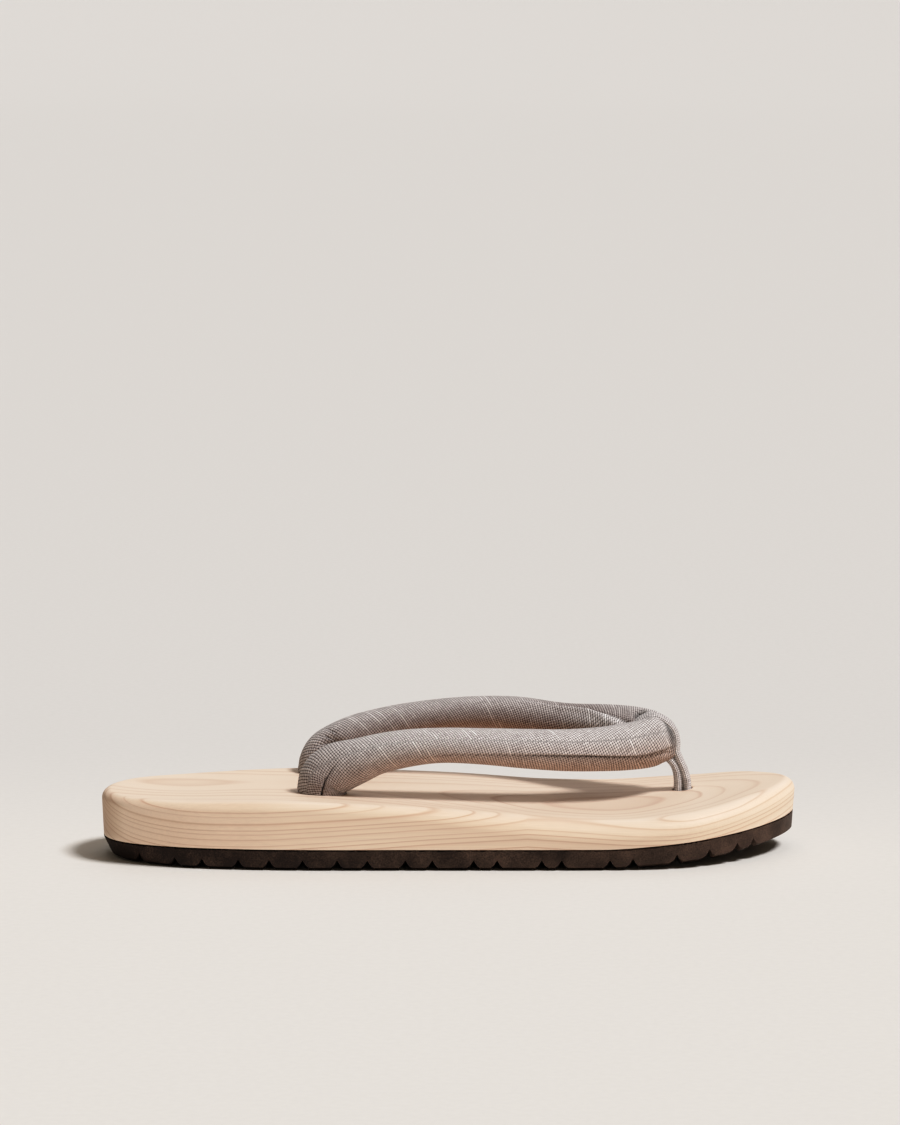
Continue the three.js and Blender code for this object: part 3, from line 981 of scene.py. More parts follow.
@dataclass
class RubberOutsole:
    """Rubber sheet under the base, with straight and chevron grooves that leave lugs."""

    outline: FootOutline
    profile: SoleProfile
    finish: SoleRubber
    groove_width: float = 5.0
    groove_depth: float = 4.1
    chevron_advance: float = 6.0
    groove_pairs: tuple[GroovePair, ...] = rows_of(
        GroovePair,
        (-122.9, -107.3), (-96.5, -82.2), (-70.1, -57.1), (-43.7, -32.0), (-17.3, -6.9), (9.1, 18.2),
        (35.5, 43.2), (61.9, 70.9), (88.3, 101.4), (112.8, 119.6),
    )
    tread_inset: float = 1.0
    bevel_inset: float = 3.0
    bevel: float = 1.3
    heel_undercut: float = 2.6
    heel_from: float = -106.0
    heel_to: float = -126.0
    rebate_inset: float = 1.9
    rebate_height: float = 0.55
    rebate_waver: float = 0.26
    seed: int = 7
    across_points: int = 25
    wall_points: int = 7
    plain_sections: int = 500
    groove_steps: tuple[float, ...] = (-1.0, -0.96, -0.5, -0.12, 0.0, 0.12, 0.5, 0.96, 1.0)
    step_gap: float = 0.4
    groove_gap: float = 0.3
    seam_share: float = 0.9

    def stations(self) -> np.ndarray:
        """Lists the sections along the sole.

        Returns:
            Rows of x at the sides, the advance of the middle, and the share of the groove's
            depth, from heel to toe.
        """
        half = self.groove_width / 2
        rows: list[tuple[float, float, float]] = []
        for pair in self.groove_pairs:
            for centre, advance in ((pair.straight, 0.0), (pair.chevron, self.chevron_advance)):
                rows += [(centre + half * k, advance, 1.0 - abs(k)) for k in self.groove_steps]
        cut_at = np.array([row[0] for row in rows])
        turns = np.linspace(0.0, math.pi, self.plain_sections)
        plain = -FootOutline.HALF_LENGTH * np.cos(turns)
        plain[[0, -1]] = -FootOutline.HALF_LENGTH, FootOutline.HALF_LENGTH
        for x in plain:
            if np.abs(cut_at - x).min() > self.step_gap and self.clear_of_cut(x, rows):
                rows.append((float(x), 0.0, 0.0))
        return np.array(sorted(rows))

    def clear_of_cut(self, x: float, rows: Sequence[tuple[float, float, float]]) -> bool:
        """Tells whether a plain section lies between grooves and not within one.

        Args:
            x: Place of the section.
            rows: Rows of the sections so far.

        Returns:
            Whether it is clear of every groove.
        """
        half = self.groove_width / 2
        bottoms = [row for row in rows if row[2] == 1.0]
        gap = min(abs(x - row[0]) for row in bottoms)
        behind = [row[0] for row in bottoms if row[1] > 0.0 and row[0] < x]
        swept = bool(behind) and x - behind[-1] < half + self.chevron_advance
        return gap > half + self.groove_gap and not swept

    def sections(self) -> np.ndarray:
        """Draws the closed section at each station.

        Returns:
            Points as stations by points by three.
        """
        profile = self.profile
        x, advance, cut = self.stations().T
        lift = cut * self.groove_depth
        seam = profile.RUBBER + profile.SEAM_GAP * self.seam_share
        tread = np.maximum(lift, self.bevel)
        waver = np.random.default_rng(self.seed).uniform(-1.0, 1.0, len(x))
        ledge = seam - self.rebate_height - self.rebate_waver * waver
        heel = np.clip((x - self.heel_from) / (self.heel_to - self.heel_from), 0.0, 1.0)
        foot = self.tread_inset + self.heel_undercut * heel
        steps = [(self.rebate_inset, seam), (self.rebate_inset, ledge)]
        steps += [(profile.SEAM_INSET + (foot - profile.SEAM_INSET) * k, ledge + (tread - ledge) * k)
                  for k in np.linspace(0.0, 1.0, self.wall_points)]
        steps.append((foot + self.bevel_inset, lift))

        def wall(side: Side) -> list[np.ndarray]:
            """Draws one side from the seam down to the tread.

            Args:
                side: Side of the foot.

            Returns:
                Points at each step down, as stations by three.
            """
            edge, way = self.outline.at_x(x, side)
            flats = [(edge - way * np.reshape(inset, (-1, 1)), height) for inset, height in steps]
            return [np.column_stack([flat, profile.underside(flat[:, 0]) + height])
                    for flat, height in flats]

        *outer, low = wall(Side.OUTER)
        *inner, high = wall(Side.INNER)
        columns = list(outer)
        for share in np.linspace(0.0, 1.0, self.across_points):
            point = low + (high - low) * share
            point[:, 0] += advance * (1.0 - abs(2 * share - 1.0))
            point[:, 2] = profile.underside(point[:, 0]) + lift
            columns.append(point)
        columns += inner[::-1]
        columns += [inner[0] + (outer[0] - inner[0]) * share for share in (0.25, 0.5, 0.75)]
        return np.stack(columns, 1)

    def build(self) -> Object:
        """Builds the finished outsole."""
        return grid_object("geta_rubber_outsole", self.sections(), self.finish.material())


@dataclass(frozen=True)
class Crease:
    """Fold in the thong's cloth, with the far lip tucked under the near one.

    Attributes:
        rows: Points of the fold along the thong.
        width: Half width of the trough.
        ridge: Height of the puffed lip on the near side, towards smaller angles.
        tuck: How far the far side is drawn in, at most.
        fade: Width over which the far side comes back out.
        line: Half width of the painted dark line of shade at the bottom.
        cast: How dim the far side is under the near lip, from 0 to 1.
        cast_reach: Width of that dim strip.
        full_dark: Depth at which the painted dark line is full.
        lip_place: Distance of the lip from the trough, in widths.
        lip_width: Half width of the lip, in widths.
        side_width: Half width of the step from the near to the far side, in widths.
    """

    rows: tuple[CreaseRow, ...]
    width: float
    ridge: float = 0.0
    tuck: float = 0.0
    fade: float = 5.0
    line: float = 0.3
    cast: float = 0.0
    cast_reach: float = 9.0
    full_dark: float = 2.0
    lip_place: float = 2.4
    lip_width: float = 1.6
    side_width: float = 0.35

    def effect(self, along: np.ndarray, angle: np.ndarray,
               radius: np.ndarray) -> tuple[np.ndarray, np.ndarray, np.ndarray]:
        """Gives what the fold does to the cloth on both sides of it.

        Args:
            along: Distance from the outer root, at each point.
            angle: Degrees round the section, at each point.
            radius: Distance from the section's centre, at each point.

        Returns:
            How far the cloth is drawn in, negative where it stands proud, the share of the painted
            dark line of shade, and how much painted dim the far side has under the near lip.
        """
        at = [row.along for row in self.rows]
        centre = np.interp(along, at, [row.angle for row in self.rows])
        depth = np.interp(along, at, [row.depth for row in self.rows], left=0.0, right=0.0)
        share = depth / max(row.depth for row in self.rows)
        off = np.radians(turn_from(centre, angle)) * radius
        trough = np.exp(-(off / self.width) ** 2)
        lip = np.exp(-((off / self.width + self.lip_place) / self.lip_width) ** 2)
        inside = 1.0 / (1.0 + np.exp(-off / (self.side_width * self.width)))
        drawn = inside * np.exp(-np.maximum(off, 0.0) / self.fade)
        drop = depth * trough + share * (self.tuck * drawn - self.ridge * lip)
        # Painted shade: a dark line along the bottom of the trough, and painted dim on the far side
        shade = np.minimum(depth / self.full_dark, 1.0) ** 2 * np.exp(-(off / self.line) ** 2)
        dim = self.cast * share * inside * np.exp(-(off / self.cast_reach) ** 2)
        return drop, shade, dim


@dataclass(frozen=True)
class Puff:
    """Soft rise of the stuffing under the cloth, or a hollow where its height is negative.

    Attributes:
        along: Distance of its middle from the outer root.
        angle: Its middle, round the section.
        height: How far it stands proud.
        reach: Half its length along the thong.
        spread: Half its width round the section.
        shade: How much painted shade it has, from 0 to 1.
        edge: How steep its sides are, 1 for a soft bell.
        dim: What it adds to the painted dim of the cloth, negative for painted light.
    """

    along: float
    angle: float
    height: float
    reach: float
    spread: float
    shade: float = 0.0
    edge: float = 1.0
    dim: float = 0.0

    def share_at(self, along: np.ndarray, angle: np.ndarray) -> np.ndarray:
        """Gives the puff's share from the distance along and the degrees round, 1 at its middle."""
        turn = turn_from(self.angle, angle) / self.spread
        return np.exp(-(((along - self.along) / self.reach) ** 2 + turn ** 2) ** self.edge)


@dataclass
class PaddedThong:
    """Stuffed linen tube from the outer rear hole, over the nose, to the inner rear hole.

    Angles go round the section from the side that faces the foot, up over the top. The cloth's
    seam runs along the outward side.
    """

    finish: MelangeLinen
    # Steps of the line, and the level share of its way under which its heading is unsure
    line_steps: int = 8001
    upright: float = 0.35
    # Tails in the holes and the rounded seats over them
    tail_radius: float = 4.5
    tail_foot: float = 9.0
    tail_neck: float = 1.0
    seat_gap: float = 0.3
    seat_round: float = 1.8
    seat_lift: float = 0.1
    seat_rings: int = 4
    # Columns of the mesh, close together at the seam
    rings: int = 620
    plain_sides: int = 88
    seam_sides: int = 60
    seam_from: float = 150.0
    seam_to: float = 234.0
    chart_line: float = 100.0
    # Coarse tube of cloth that is blown up for its puckers
    cage_rings: int = 180
    cage_sides: int = 40
    cage_scale: float = 25.0
    cage_frames: int = 24
    cage_cloth: tuple[tuple[str, float], ...] = (
        ("mass", 0.3), ("tension_stiffness", 20.0), ("compression_stiffness", 20.0),
        ("shear_stiffness", 6.0), ("bending_stiffness", 0.6), ("uniform_pressure_force", 4.0))
    cage_quality: int = 6
    looseness: float = 0.03
    pucker_limit: float = 0.7
    slow_rings: int = 8
    slow_sides: int = 5
    # Warm light on the underside and dim sides, by turn and by distance from the outer root
    underside: float = 270.0
    warm_outer: tuple[float, float] = (124.0, 94.0)
    warm_inner: tuple[float, float] = (112.0, 56.0)
    warm_along: tuple[tuple[float, float], ...] = (
        (0.0, 0.35), (40.0, 1.0), (262.0, 1.0), (302.0, 0.35))
    dim_sides: tuple[tuple[float, float, float], ...] = ((8.0, 34.0, 0.6), (185.0, 48.0, 0.3))
    dim_along: tuple[tuple[float, float], ...] = (
        (0.0, 0.6), (14.0, 0.3), (28.0, 0.0), (158.0, 0.0), (190.0, 0.3), (275.0, 0.3), (302.0, 0.5))
    # Sections from each root to the nose
    outer_rows: tuple[ArmRow, ...] = rows_of(
        ArmRow,
        (-50.6, -20.4, 16.0, 16.0, 18.6), (-50.6, -20.5, 25.0, 16.4, 19.0),
        (-48.7, -20.8, 31.0, 17.0, 19.2), (-44.7, -21.5, 34.4, 17.2, 18.6),
        (-37.0, -22.7, 38.1, 17.2, 17.4), (-28.5, -23.5, 41.5, 17.0, 15.8),
        (-17.0, -23.8, 43.9, 17.0, 14.7), (-4.0, -22.7, 44.9, 17.0, 13.6),
        (12.0, -19.6, 44.0, 17.0, 14.0), (28.0, -15.2, 42.4, 17.0, 15.4),
        (44.0, -9.0, 40.7, 17.0, 16.6), (60.0, -1.6, 39.8, 16.6, 17.8), (72.0, 4.8, 39.8, 16.0, 19.0),
        (81.0, 9.6, 41.0, 14.0, 19.0),
    )
    nose: ArmRow = ArmRow(85.4, 14.0, 41.6, 8.4, 15.0)
    inner_rows: tuple[ArmRow, ...] = rows_of(
        ArmRow,
        (-51.8, 25.0, 17.0, 16.0, 19.0), (-51.8, 25.2, 26.2, 16.4, 19.6),
        (-49.9, 25.8, 32.3, 17.0, 19.8), (-45.9, 26.8, 35.9, 17.2, 19.2),
        (-38.0, 28.6, 40.2, 17.2, 17.4), (-28.5, 30.4, 43.3, 17.0, 15.8),
        (-17.0, 32.2, 45.8, 17.0, 14.7), (-4.0, 33.4, 47.8, 17.0, 13.6),
        (12.0, 34.0, 48.7, 17.0, 14.0), (28.0, 33.2, 47.9, 17.0, 15.4), (44.0, 31.0, 46.0, 17.0, 16.6),
        (60.0, 27.6, 45.2, 16.6, 17.8), (72.0, 23.6, 44.2, 16.0, 19.0), (81.0, 18.6, 42.6, 14.0, 19.0),
    )
    puffs: tuple[Puff, ...] = (
        # Full shoulder where the outer arm bends out of its hole
        Puff(12.0, 90.0, 1.7, 9.0, 50.0),
        # The two arms press together behind the nose and fill the valley between them; painted light
        # takes the dim off the inner arm's roll there
        Puff(132.0, 36.0, 1.4, 14.0, 30.0),
        Puff(176.0, 8.0, 4.8, 14.0, 34.0, dim=-0.75),
        # Hollows beside the toe loop, two of them darkened with painted shade
        Puff(163.2, 58.0, -3.2, 2.2, 21.0, 0.75, 2.0),
        Puff(144.5, 98.0, 0.9, 5.0, 26.0),
        Puff(143.6, 83.0, -1.4, 2.0, 10.0, 0.75, 2.0),
        # Front of the nose, full against the loop, with painted shade where they meet
        Puff(154.0, 216.0, 1.9, 8.0, 32.0),
        Puff(149.8, 155.0, 0.0, 1.2, 58.0, 0.8),
        # Inside of the bend at the inner root, a hollow with painted shade
        Puff(291.5, 22.0, -2.6, 3.0, 22.0, 0.5),
    )
    # Folds in the cloth, each with a painted dark line of shade along its bottom
    creases: tuple[Crease, ...] = (
        # Seam fold of the outer arm: the upper roll hangs over the lower one
        Crease(rows_of(
            CreaseRow,
            (33.0, 222.0, 0.0), (41.6, 214.0, 0.4), (54.3, 203.0, 0.5), (65.0, 201.0, 0.6),
            (73.3, 197.0, 0.65), (83.1, 192.5, 0.8), (96.3, 188.5, 1.1), (110.5, 189.0, 1.6),
            (122.0, 194.0, 1.8), (134.0, 198.0, 1.8), (141.0, 198.5, 1.4), (147.0, 196.5, 0.8),
            (151.0, 195.0, 0.0),
        ), width=0.45, ridge=0.4, tuck=1.4, fade=6.0, line=0.34),
        # Second fine line under it at the nose
        Crease(rows_of(
            CreaseRow,
            (126.0, 199.0, 0.0), (134.0, 203.0, 0.6), (141.0, 205.0, 0.9), (147.0, 206.0, 0.7),
            (151.0, 207.0, 0.0),
        ), width=0.4),
        # Lap of the cloth at the outer root
        Crease(rows_of(
            CreaseRow,
            (0.0, 189.0, 1.9), (5.4, 186.0, 1.7), (8.3, 180.0, 1.2), (11.4, 169.0, 0.7),
            (16.0, 157.0, 0.0),
        ), width=0.3, line=0.24),
        # Fold over the inner arm on its way to the nose, with painted dim on the far side under its lip
        Crease(rows_of(
            CreaseRow,
            (160.0, 10.0, 0.9), (165.0, 19.0, 1.2), (169.6, 26.0, 1.3), (174.5, 33.0, 1.3),
            (179.4, 41.0, 1.3), (185.8, 56.0, 1.2), (191.6, 62.0, 1.1), (204.0, 67.0, 0.6),
            (215.0, 70.0, 0.0),
        ), width=0.8, ridge=0.9, tuck=2.2, fade=6.0, line=0.4, cast=0.6),
        # Seam fold of the inner arm, on the side away from the other arm
        Crease(rows_of(
            CreaseRow,
            (170.0, 199.0, 0.9), (186.0, 190.0, 1.8), (214.0, 186.0, 2.0), (240.0, 200.0, 1.7),
            (256.0, 210.0, 1.2), (272.0, 220.0, 0.0),
        ), width=0.9, ridge=0.3, tuck=1.0, fade=6.0),
        # Dent and pleats inside the bend of the inner root
        Crease(rows_of(
            CreaseRow,
            (285.0, 10.0, 0.0), (289.5, 18.0, 1.3), (293.5, 28.0, 1.1), (297.5, 38.0, 0.0),
        ), width=0.8, ridge=0.3),
        *(Crease(rows_of(CreaseRow, *pleat), width=0.5, ridge=0.3) for pleat in (
            ((291.0, 28.0, 0.0), (293.6, 42.0, 1.0), (297.0, 62.0, 0.0)),
            ((289.6, 32.0, 0.0), (291.4, 50.0, 1.0), (294.0, 72.0, 0.0)),
            ((287.8, 34.0, 0.0), (288.8, 56.0, 0.9), (290.6, 80.0, 0.0)),
        )),
    )

    def __post_init__(self) -> None:
        """Draws the line of the tube at fine steps."""
        rows = [*self.outer_rows, self.nose, *reversed(self.inner_rows)]
        self.fine_rows = SmoothLine(rows)(np.linspace(0.0, 1.0, self.line_steps))

    def frames(self, seat: float,
               count: int) -> tuple[np.ndarray, np.ndarray, np.ndarray, np.ndarray]:
        """Cuts the tube's line at the footbed and gives its rows and axes at even steps.

        Args:
            seat: Height of the footbed under the roots.
            count: Number of steps.

        Returns:
            Distances from the outer root, rows of the line, axes to the foot's side, and axes up
            over the top.
        """
        rows = self.fine_rows
        above = np.flatnonzero(rows[:, 2] > seat)
        rows = rows[above[0]:above[-1] + 1]
        gaps = np.linalg.norm(np.diff(rows[:, :3], axis=0), axis=1)
        run = np.concatenate([[0.0], np.cumsum(gaps)])
        along = np.linspace(0.0, run[-1], count)
        rows = np.stack([np.interp(along, run, column) for column in rows.T], 1)
        way = np.gradient(rows[:, :3], axis=0)
        way /= np.linalg.norm(way, axis=1)[:, None]
        heading = np.unwrap(np.arctan2(way[:, 1], way[:, 0]))
        level = np.hypot(way[:, 0], way[:, 1]) > self.upright
        heading = np.interp(along, along[level], heading[level])
        inward = np.column_stack([-np.sin(heading), np.cos(heading), np.zeros_like(heading)])
        inward -= np.sum(inward * way, 1)[:, None] * way
        inward /= np.linalg.norm(inward, axis=1)[:, None]
        return along, rows, inward, np.cross(way, inward)

    def build(self, seat: float) -> Object:
        """Builds the stuffed thong.

        Args:
            seat: Height of the footbed under the roots.

        Returns:
            The finished thong.
        """
        base = seat + self.seat_gap
        material = self.finish.material()
        along, rows, inward, upward = self.frames(base, self.rings)
        degrees = self.degrees()
        spokes = self.spokes(rows, inward, upward, degrees)
        radius = np.linalg.norm(spokes, axis=2)
        places = along[:, None], degrees[None, :]
        effects = [crease.effect(*places, radius) for crease in self.creases]
        depth, shade, dim = (sum(layer) for layer in zip(*effects))
        rise = self.puckers(base, along, degrees, material)
        for puff in self.puffs:
            share = puff.share_at(*places)
            rise = rise + puff.height * share
            shade = shade + puff.shade * share
            dim = dim + puff.dim * share
        tube = rows[:, None, :3] + spokes * (1.0 + (rise - depth) / radius)[..., None]
        feet = self.foot(tube[0], base), self.foot(tube[-1], base)[::-1]
        grid = np.concatenate([feet[0], tube, feet[1]])
        # Painted shade of the folds and hollows, painted warm light and painted dim, kept as marks on
        # the cloth
        marks = {"fold": shade, **self.light_marks(along, degrees)}
        marks["dim"] = marks["dim"] + dim
        ends = (len(feet[0]), len(feet[1])), (0, 0)
        marks = {key: np.pad(np.clip(values, 0.0, 1.0), ends, mode="edge")
                 for key, values in marks.items()}
        return grid_object("geta_hanao_strap", grid, material, self.chart(grid), marks)

    def spokes(self, rows: np.ndarray, inward: np.ndarray, upward: np.ndarray,
               degrees: np.ndarray) -> np.ndarray:
        """Gives the way from the line to the plain skin, at each row and each angle.

        Args:
            rows: Rows of the line.
            inward: Axes to the foot's side.
            upward: Axes up over the top.
            degrees: Degrees round the section.

        Returns:
            Offsets as rows by angles by three.
        """
        angle = np.radians(degrees)[None, :]
        a = rows[:, 3:4] / 2 * np.cos(angle)
        b = rows[:, 4:5] / 2 * np.sin(angle)
        return inward[:, None, :] * a[..., None] + upward[:, None, :] * b[..., None]

    def light_marks(self, along: np.ndarray, degrees: np.ndarray) -> dict[str, np.ndarray]:
        """Marks the underside that the wood warms and the dim sides between the arms.

        Args:
            along: Distances from the outer root.
            degrees: Degrees round the section.

        Returns:
            Shares named warm and dim, as distances by angles.
        """
        turn = turn_from(self.underside, degrees)
        low = np.where(turn < 0.0, (self.warm_outer[0] + turn) / self.warm_outer[1],
                       (self.warm_inner[0] - turn) / self.warm_inner[1])
        warm = np.interp(along, *zip(*self.warm_along))[:, None] * smoothstep(low)
        dim = np.interp(along, *zip(*self.dim_along))[:, None]
        for angle, spread_angle, share in self.dim_sides:
            dim = dim + share * np.exp(-(turn_from(angle, degrees[None, :]) / spread_angle) ** 2)
        return {"warm": warm, "dim": dim}

    def puckers(self, base: float, along: np.ndarray, degrees: np.ndarray,
                material: Material) -> np.ndarray:
        """Blows up a coarse tube of slightly loose cloth and measures how its skin puckers.

        Args:
            base: Height of the seat.
            along: Distances from the outer root where the rise is wanted.
            degrees: Degrees round the section where it is wanted.
            material: Any finish for the coarse tube, which is removed.

        Returns:
            Rise of the skin, as distances by angles, without the slow change of its section.
        """
        steps, rows, inward, upward = self.frames(base, self.cage_rings)
        round_steps = np.arange(self.cage_sides) * 360.0 / self.cage_sides
        spokes = self.spokes(rows, inward, upward, round_steps)
        cage = (rows[:, None, :3] + spokes) * self.cage_scale
        piece = grid_object("cage", cage, material)
        ends = [i for ring in (0, 1, self.cage_rings - 2, self.cage_rings - 1)
                for i in range(ring * self.cage_sides, (ring + 1) * self.cage_sides)]
        piece.vertex_groups.new(name="ends").add(ends, 1.0, "REPLACE")
        modifier = piece.modifiers.new("settle", "CLOTH")
        cloth = modifier.settings
        cloth.vertex_group_mass = "ends"
        cloth.quality = self.cage_quality
        cloth.shrink_min = -self.looseness
        cloth.use_pressure = True
        for name, value in self.cage_cloth:
            setattr(cloth, name, value)
        cloth.effector_weights.gravity = 0.0
        modifier.collision_settings.use_collision = False
        modifier.point_cache.frame_end = self.cage_frames
        scene = bpy.context.scene
        for number in range(1, self.cage_frames + 1):
            scene.frame_set(number)
        settled = piece.evaluated_get(bpy.context.evaluated_depsgraph_get()).data
        points = np.empty(cage.size, np.float32)
        settled.vertices.foreach_get("co", points)
        scene.frame_set(1)
        bpy.data.objects.remove(piece)
        moved = points.reshape(cage.shape) / (MM * self.cage_scale) - cage / self.cage_scale
        out = spokes / np.linalg.norm(spokes, axis=2)[..., None]
        rise = np.sum(moved * out, 2)
        LOG.info("cloth settled: skin moved %.2f mm at most", np.abs(rise).max())
        fine = np.clip(rise - self.slow_part(rise), -self.pucker_limit, self.pucker_limit)
        wide = np.stack([np.interp(along, steps, column) for column in fine.T], 1)
        return np.stack([np.interp(degrees, round_steps, row, period=360.0) for row in wide])

    def slow_part(self, rise: np.ndarray) -> np.ndarray:
        """Smooths the rise of the coarse tube over its slow distances, along it and round it.

        Args:
            rise: Rise of the skin, as rings by sides.

        Returns:
            The slow change of the section, of the same shape.
        """
        slow = rise
        for axis, half, mode in ((0, self.slow_rings, "edge"), (1, self.slow_sides, "wrap")):
            ends = [(half, half) if i == axis else (0, 0) for i in range(2)]
            padded = np.pad(slow, ends, mode=mode)
            kernel = np.hanning(2 * half + 3)[1:-1]
            slow = np.apply_along_axis(np.convolve, axis, padded, kernel / kernel.sum(), "valid")
        return slow

    def degrees(self) -> np.ndarray:
        """Lists the columns round the section, close together where the seam folds are.

        Returns:
            Degrees, rising.
        """
        close = np.linspace(self.seam_from, self.seam_to, self.seam_sides, endpoint=False)
        plain = np.linspace(self.seam_to, self.seam_from + 360.0, self.plain_sides, endpoint=False)
        return np.concatenate([plain, close])

    def foot(self, ring: np.ndarray, base: float) -> np.ndarray:
        """Draws the rings under a root: the tail in its hole, and the rounded seat.

        Args:
            ring: First full section over the footbed.
            base: Height of the seat.

        Returns:
            Rings from the tail's end up to the one before the full section.
        """
        centre = ring.mean(0)[:2]
        reach = np.linalg.norm(ring[:, :2] - centre, axis=1)[:, None]
        way = (ring[:, :2] - centre) / reach
        steps = [(0.0, self.tail_foot), (self.tail_radius, self.tail_foot),
                 (self.tail_radius, base - self.tail_neck), (self.tail_radius, base)]
        for angle in np.linspace(0.0, math.pi / 2, self.seat_rings, endpoint=False):
            lift = self.seat_round * (1.0 - math.cos(angle)) * self.seat_lift
            steps.append((reach - self.seat_round * (1.0 - math.sin(angle)), base + lift))
        return np.array([np.column_stack([centre + way * out, np.full(len(ring), height)])
                         for out, height in steps])

    def chart(self, grid: np.ndarray) -> np.ndarray:
        """Lays the cloth out flat, in metres.

        Args:
            grid: Points of the tube, as rings by points by three.

        Returns:
            Distance along the thong and round it, with both values at the seam.
        """
        top = grid[:, np.abs(self.degrees() - self.chart_line).argmin()]
        steps = np.linalg.norm(np.diff(top, axis=0), axis=1)
        along = np.concatenate([[0.0], np.cumsum(steps)])
        girth = math.pi * np.mean([(row.wide, row.tall) for row in self.outer_rows])
        turns = np.append(self.degrees(), self.degrees()[0] + 360.0)
        around = girth * (turns - turns[0]) / 360.0
        u, v = np.meshgrid(along, around, indexing="ij")
        return np.stack([u, v], -1) * MM


@dataclass
class ToeLoop:
    """Cloth tube out of the toe hole, round the thong's nose and back into the hole."""

    finish: MelangeLinen
    y: float = 14.0
    thick: float = 3.5
    wide: float = 7.0
    step: float = 0.6
    profile_points: int = 36
    route: tuple[LoopRow, ...] = rows_of(
        LoopRow,
        (91.4, 15.5), (91.4, 20.5), (91.4, 25.5), (90.7, 29.3), (89.1, 32.3), (86.0, 35.0),
        (80.6, 36.6), (75.8, 39.2), (73.8, 43.4), (75.0, 47.8), (79.0, 50.4), (83.0, 50.4),
        (86.6, 48.4), (89.4, 45.0), (90.5, 40.6), (90.4, 37.0), (91.5, 34.0), (93.4, 29.7),
        (94.8, 25.0), (95.0, 20.5), (95.0, 15.5),
    )

    def tree(self, material: Material) -> NodeTree:
        """Builds the nodes that run a cloth tube along the route.

        Args:
            material: Finish of the tube.

        Returns:
            The geometry tree, with inputs Thick, Wide and Step in metres.
        """
        tree = bpy.data.node_groups.new("cloth_tube_on_route", "GeometryNodeTree")
        face = tree.interface
        face.new_socket("Geometry", in_out="INPUT", socket_type="NodeSocketGeometry")
        for name in ("Thick", "Wide", "Step"):
            face.new_socket(name, in_out="INPUT", socket_type="NodeSocketFloat")
        face.new_socket("Geometry", in_out="OUTPUT", socket_type="NodeSocketGeometry")
        start = add_node(tree, "NodeGroupInput")
        line = add_node(tree, "GeometryNodeMeshToCurve", {"Mesh": start.outputs["Geometry"]})
        smooth = add_node(tree, "GeometryNodeCurveSplineType", {"Curve": line},
                          spline_type="CATMULL_ROM")
        finer = add_node(tree, "GeometryNodeResampleCurve", {
            "Curve": smooth, "Length": start.outputs["Step"]}, mode="LENGTH")
        level = add_node(tree, "GeometryNodeSetCurveNormal", {
            "Curve": finer, "Normal": (0.0, 1.0, 0.0)}, mode="FREE")
        ring = add_node(tree, "GeometryNodeCurvePrimitiveCircle", {
            "Resolution": self.profile_points, "Radius": 0.5})
        size = add_node(tree, "ShaderNodeCombineXYZ", {
            "X": start.outputs["Wide"], "Y": start.outputs["Thick"], "Z": 1.0})
        oval = add_node(tree, "GeometryNodeTransform", {"Geometry": ring, "Scale": size})
        # The length along each curve is kept at its points and becomes the cloth's map
        kept = []
        for curve, name in ((level, "along"), (oval, "around")):
            hold = add_node(tree, "GeometryNodeCaptureAttribute", {"Geometry": curve}, domain="POINT")
            hold.capture_items.new("FLOAT", name)
            length = add_node(tree, "GeometryNodeSplineParameter").outputs["Length"]
            tree.links.new(length, hold.inputs[1])
            kept.append(hold)
        along, around = kept
        tube = add_node(tree, "GeometryNodeCurveToMesh", {
            "Curve": along, "Profile Curve": around, "Fill Caps": True})
        flat = add_node(tree, "ShaderNodeCombineXYZ", {
            "X": along.outputs[1], "Y": around.outputs[1]})
        mapped = add_node(tree, "GeometryNodeStoreNamedAttribute", {
            "Geometry": tube, "Name": "Cloth", "Value": flat}, data_type="FLOAT2", domain="CORNER")
        soft = add_node(tree, "GeometryNodeSetShadeSmooth", {"Geometry": mapped})
        whole = add_node(tree, "GeometryNodeRealizeInstances", {"Geometry": soft})
        dressed = add_node(tree, "GeometryNodeSetMaterial", {
            "Geometry": whole, "Material": material})
        add_node(tree, "NodeGroupOutput", {"Geometry": dressed})
        return tree

    def build(self) -> Object:
        """Builds the loop as a plain mesh.

        Returns:
            The finished loop.
        """
        material = self.finish.material()
        points = [Vector((row.x, self.y, row.z)) * MM for row in self.route]
        route = bpy.data.meshes.new("loop_route")
        route.from_pydata(points, [(i, i + 1) for i in range(len(points) - 1)], [])
        guide = bpy.data.objects.new("loop_route", route)
        bpy.context.scene.collection.objects.link(guide)
        modifier = guide.modifiers.new("tube", "NODES")
        modifier.node_group = self.tree(material)
        sizes = {"Thick": self.thick * MM, "Wide": self.wide * MM, "Step": self.step * MM}
        for item in modifier.node_group.interface.items_tree:
            if item.name in sizes:
                modifier[item.identifier] = sizes[item.name]
        graph = bpy.context.evaluated_depsgraph_get()
        mesh = bpy.data.meshes.new_from_object(guide.evaluated_get(graph))
        bpy.data.objects.remove(guide)
        return finished_object("geta_toe_loop", mesh, material)


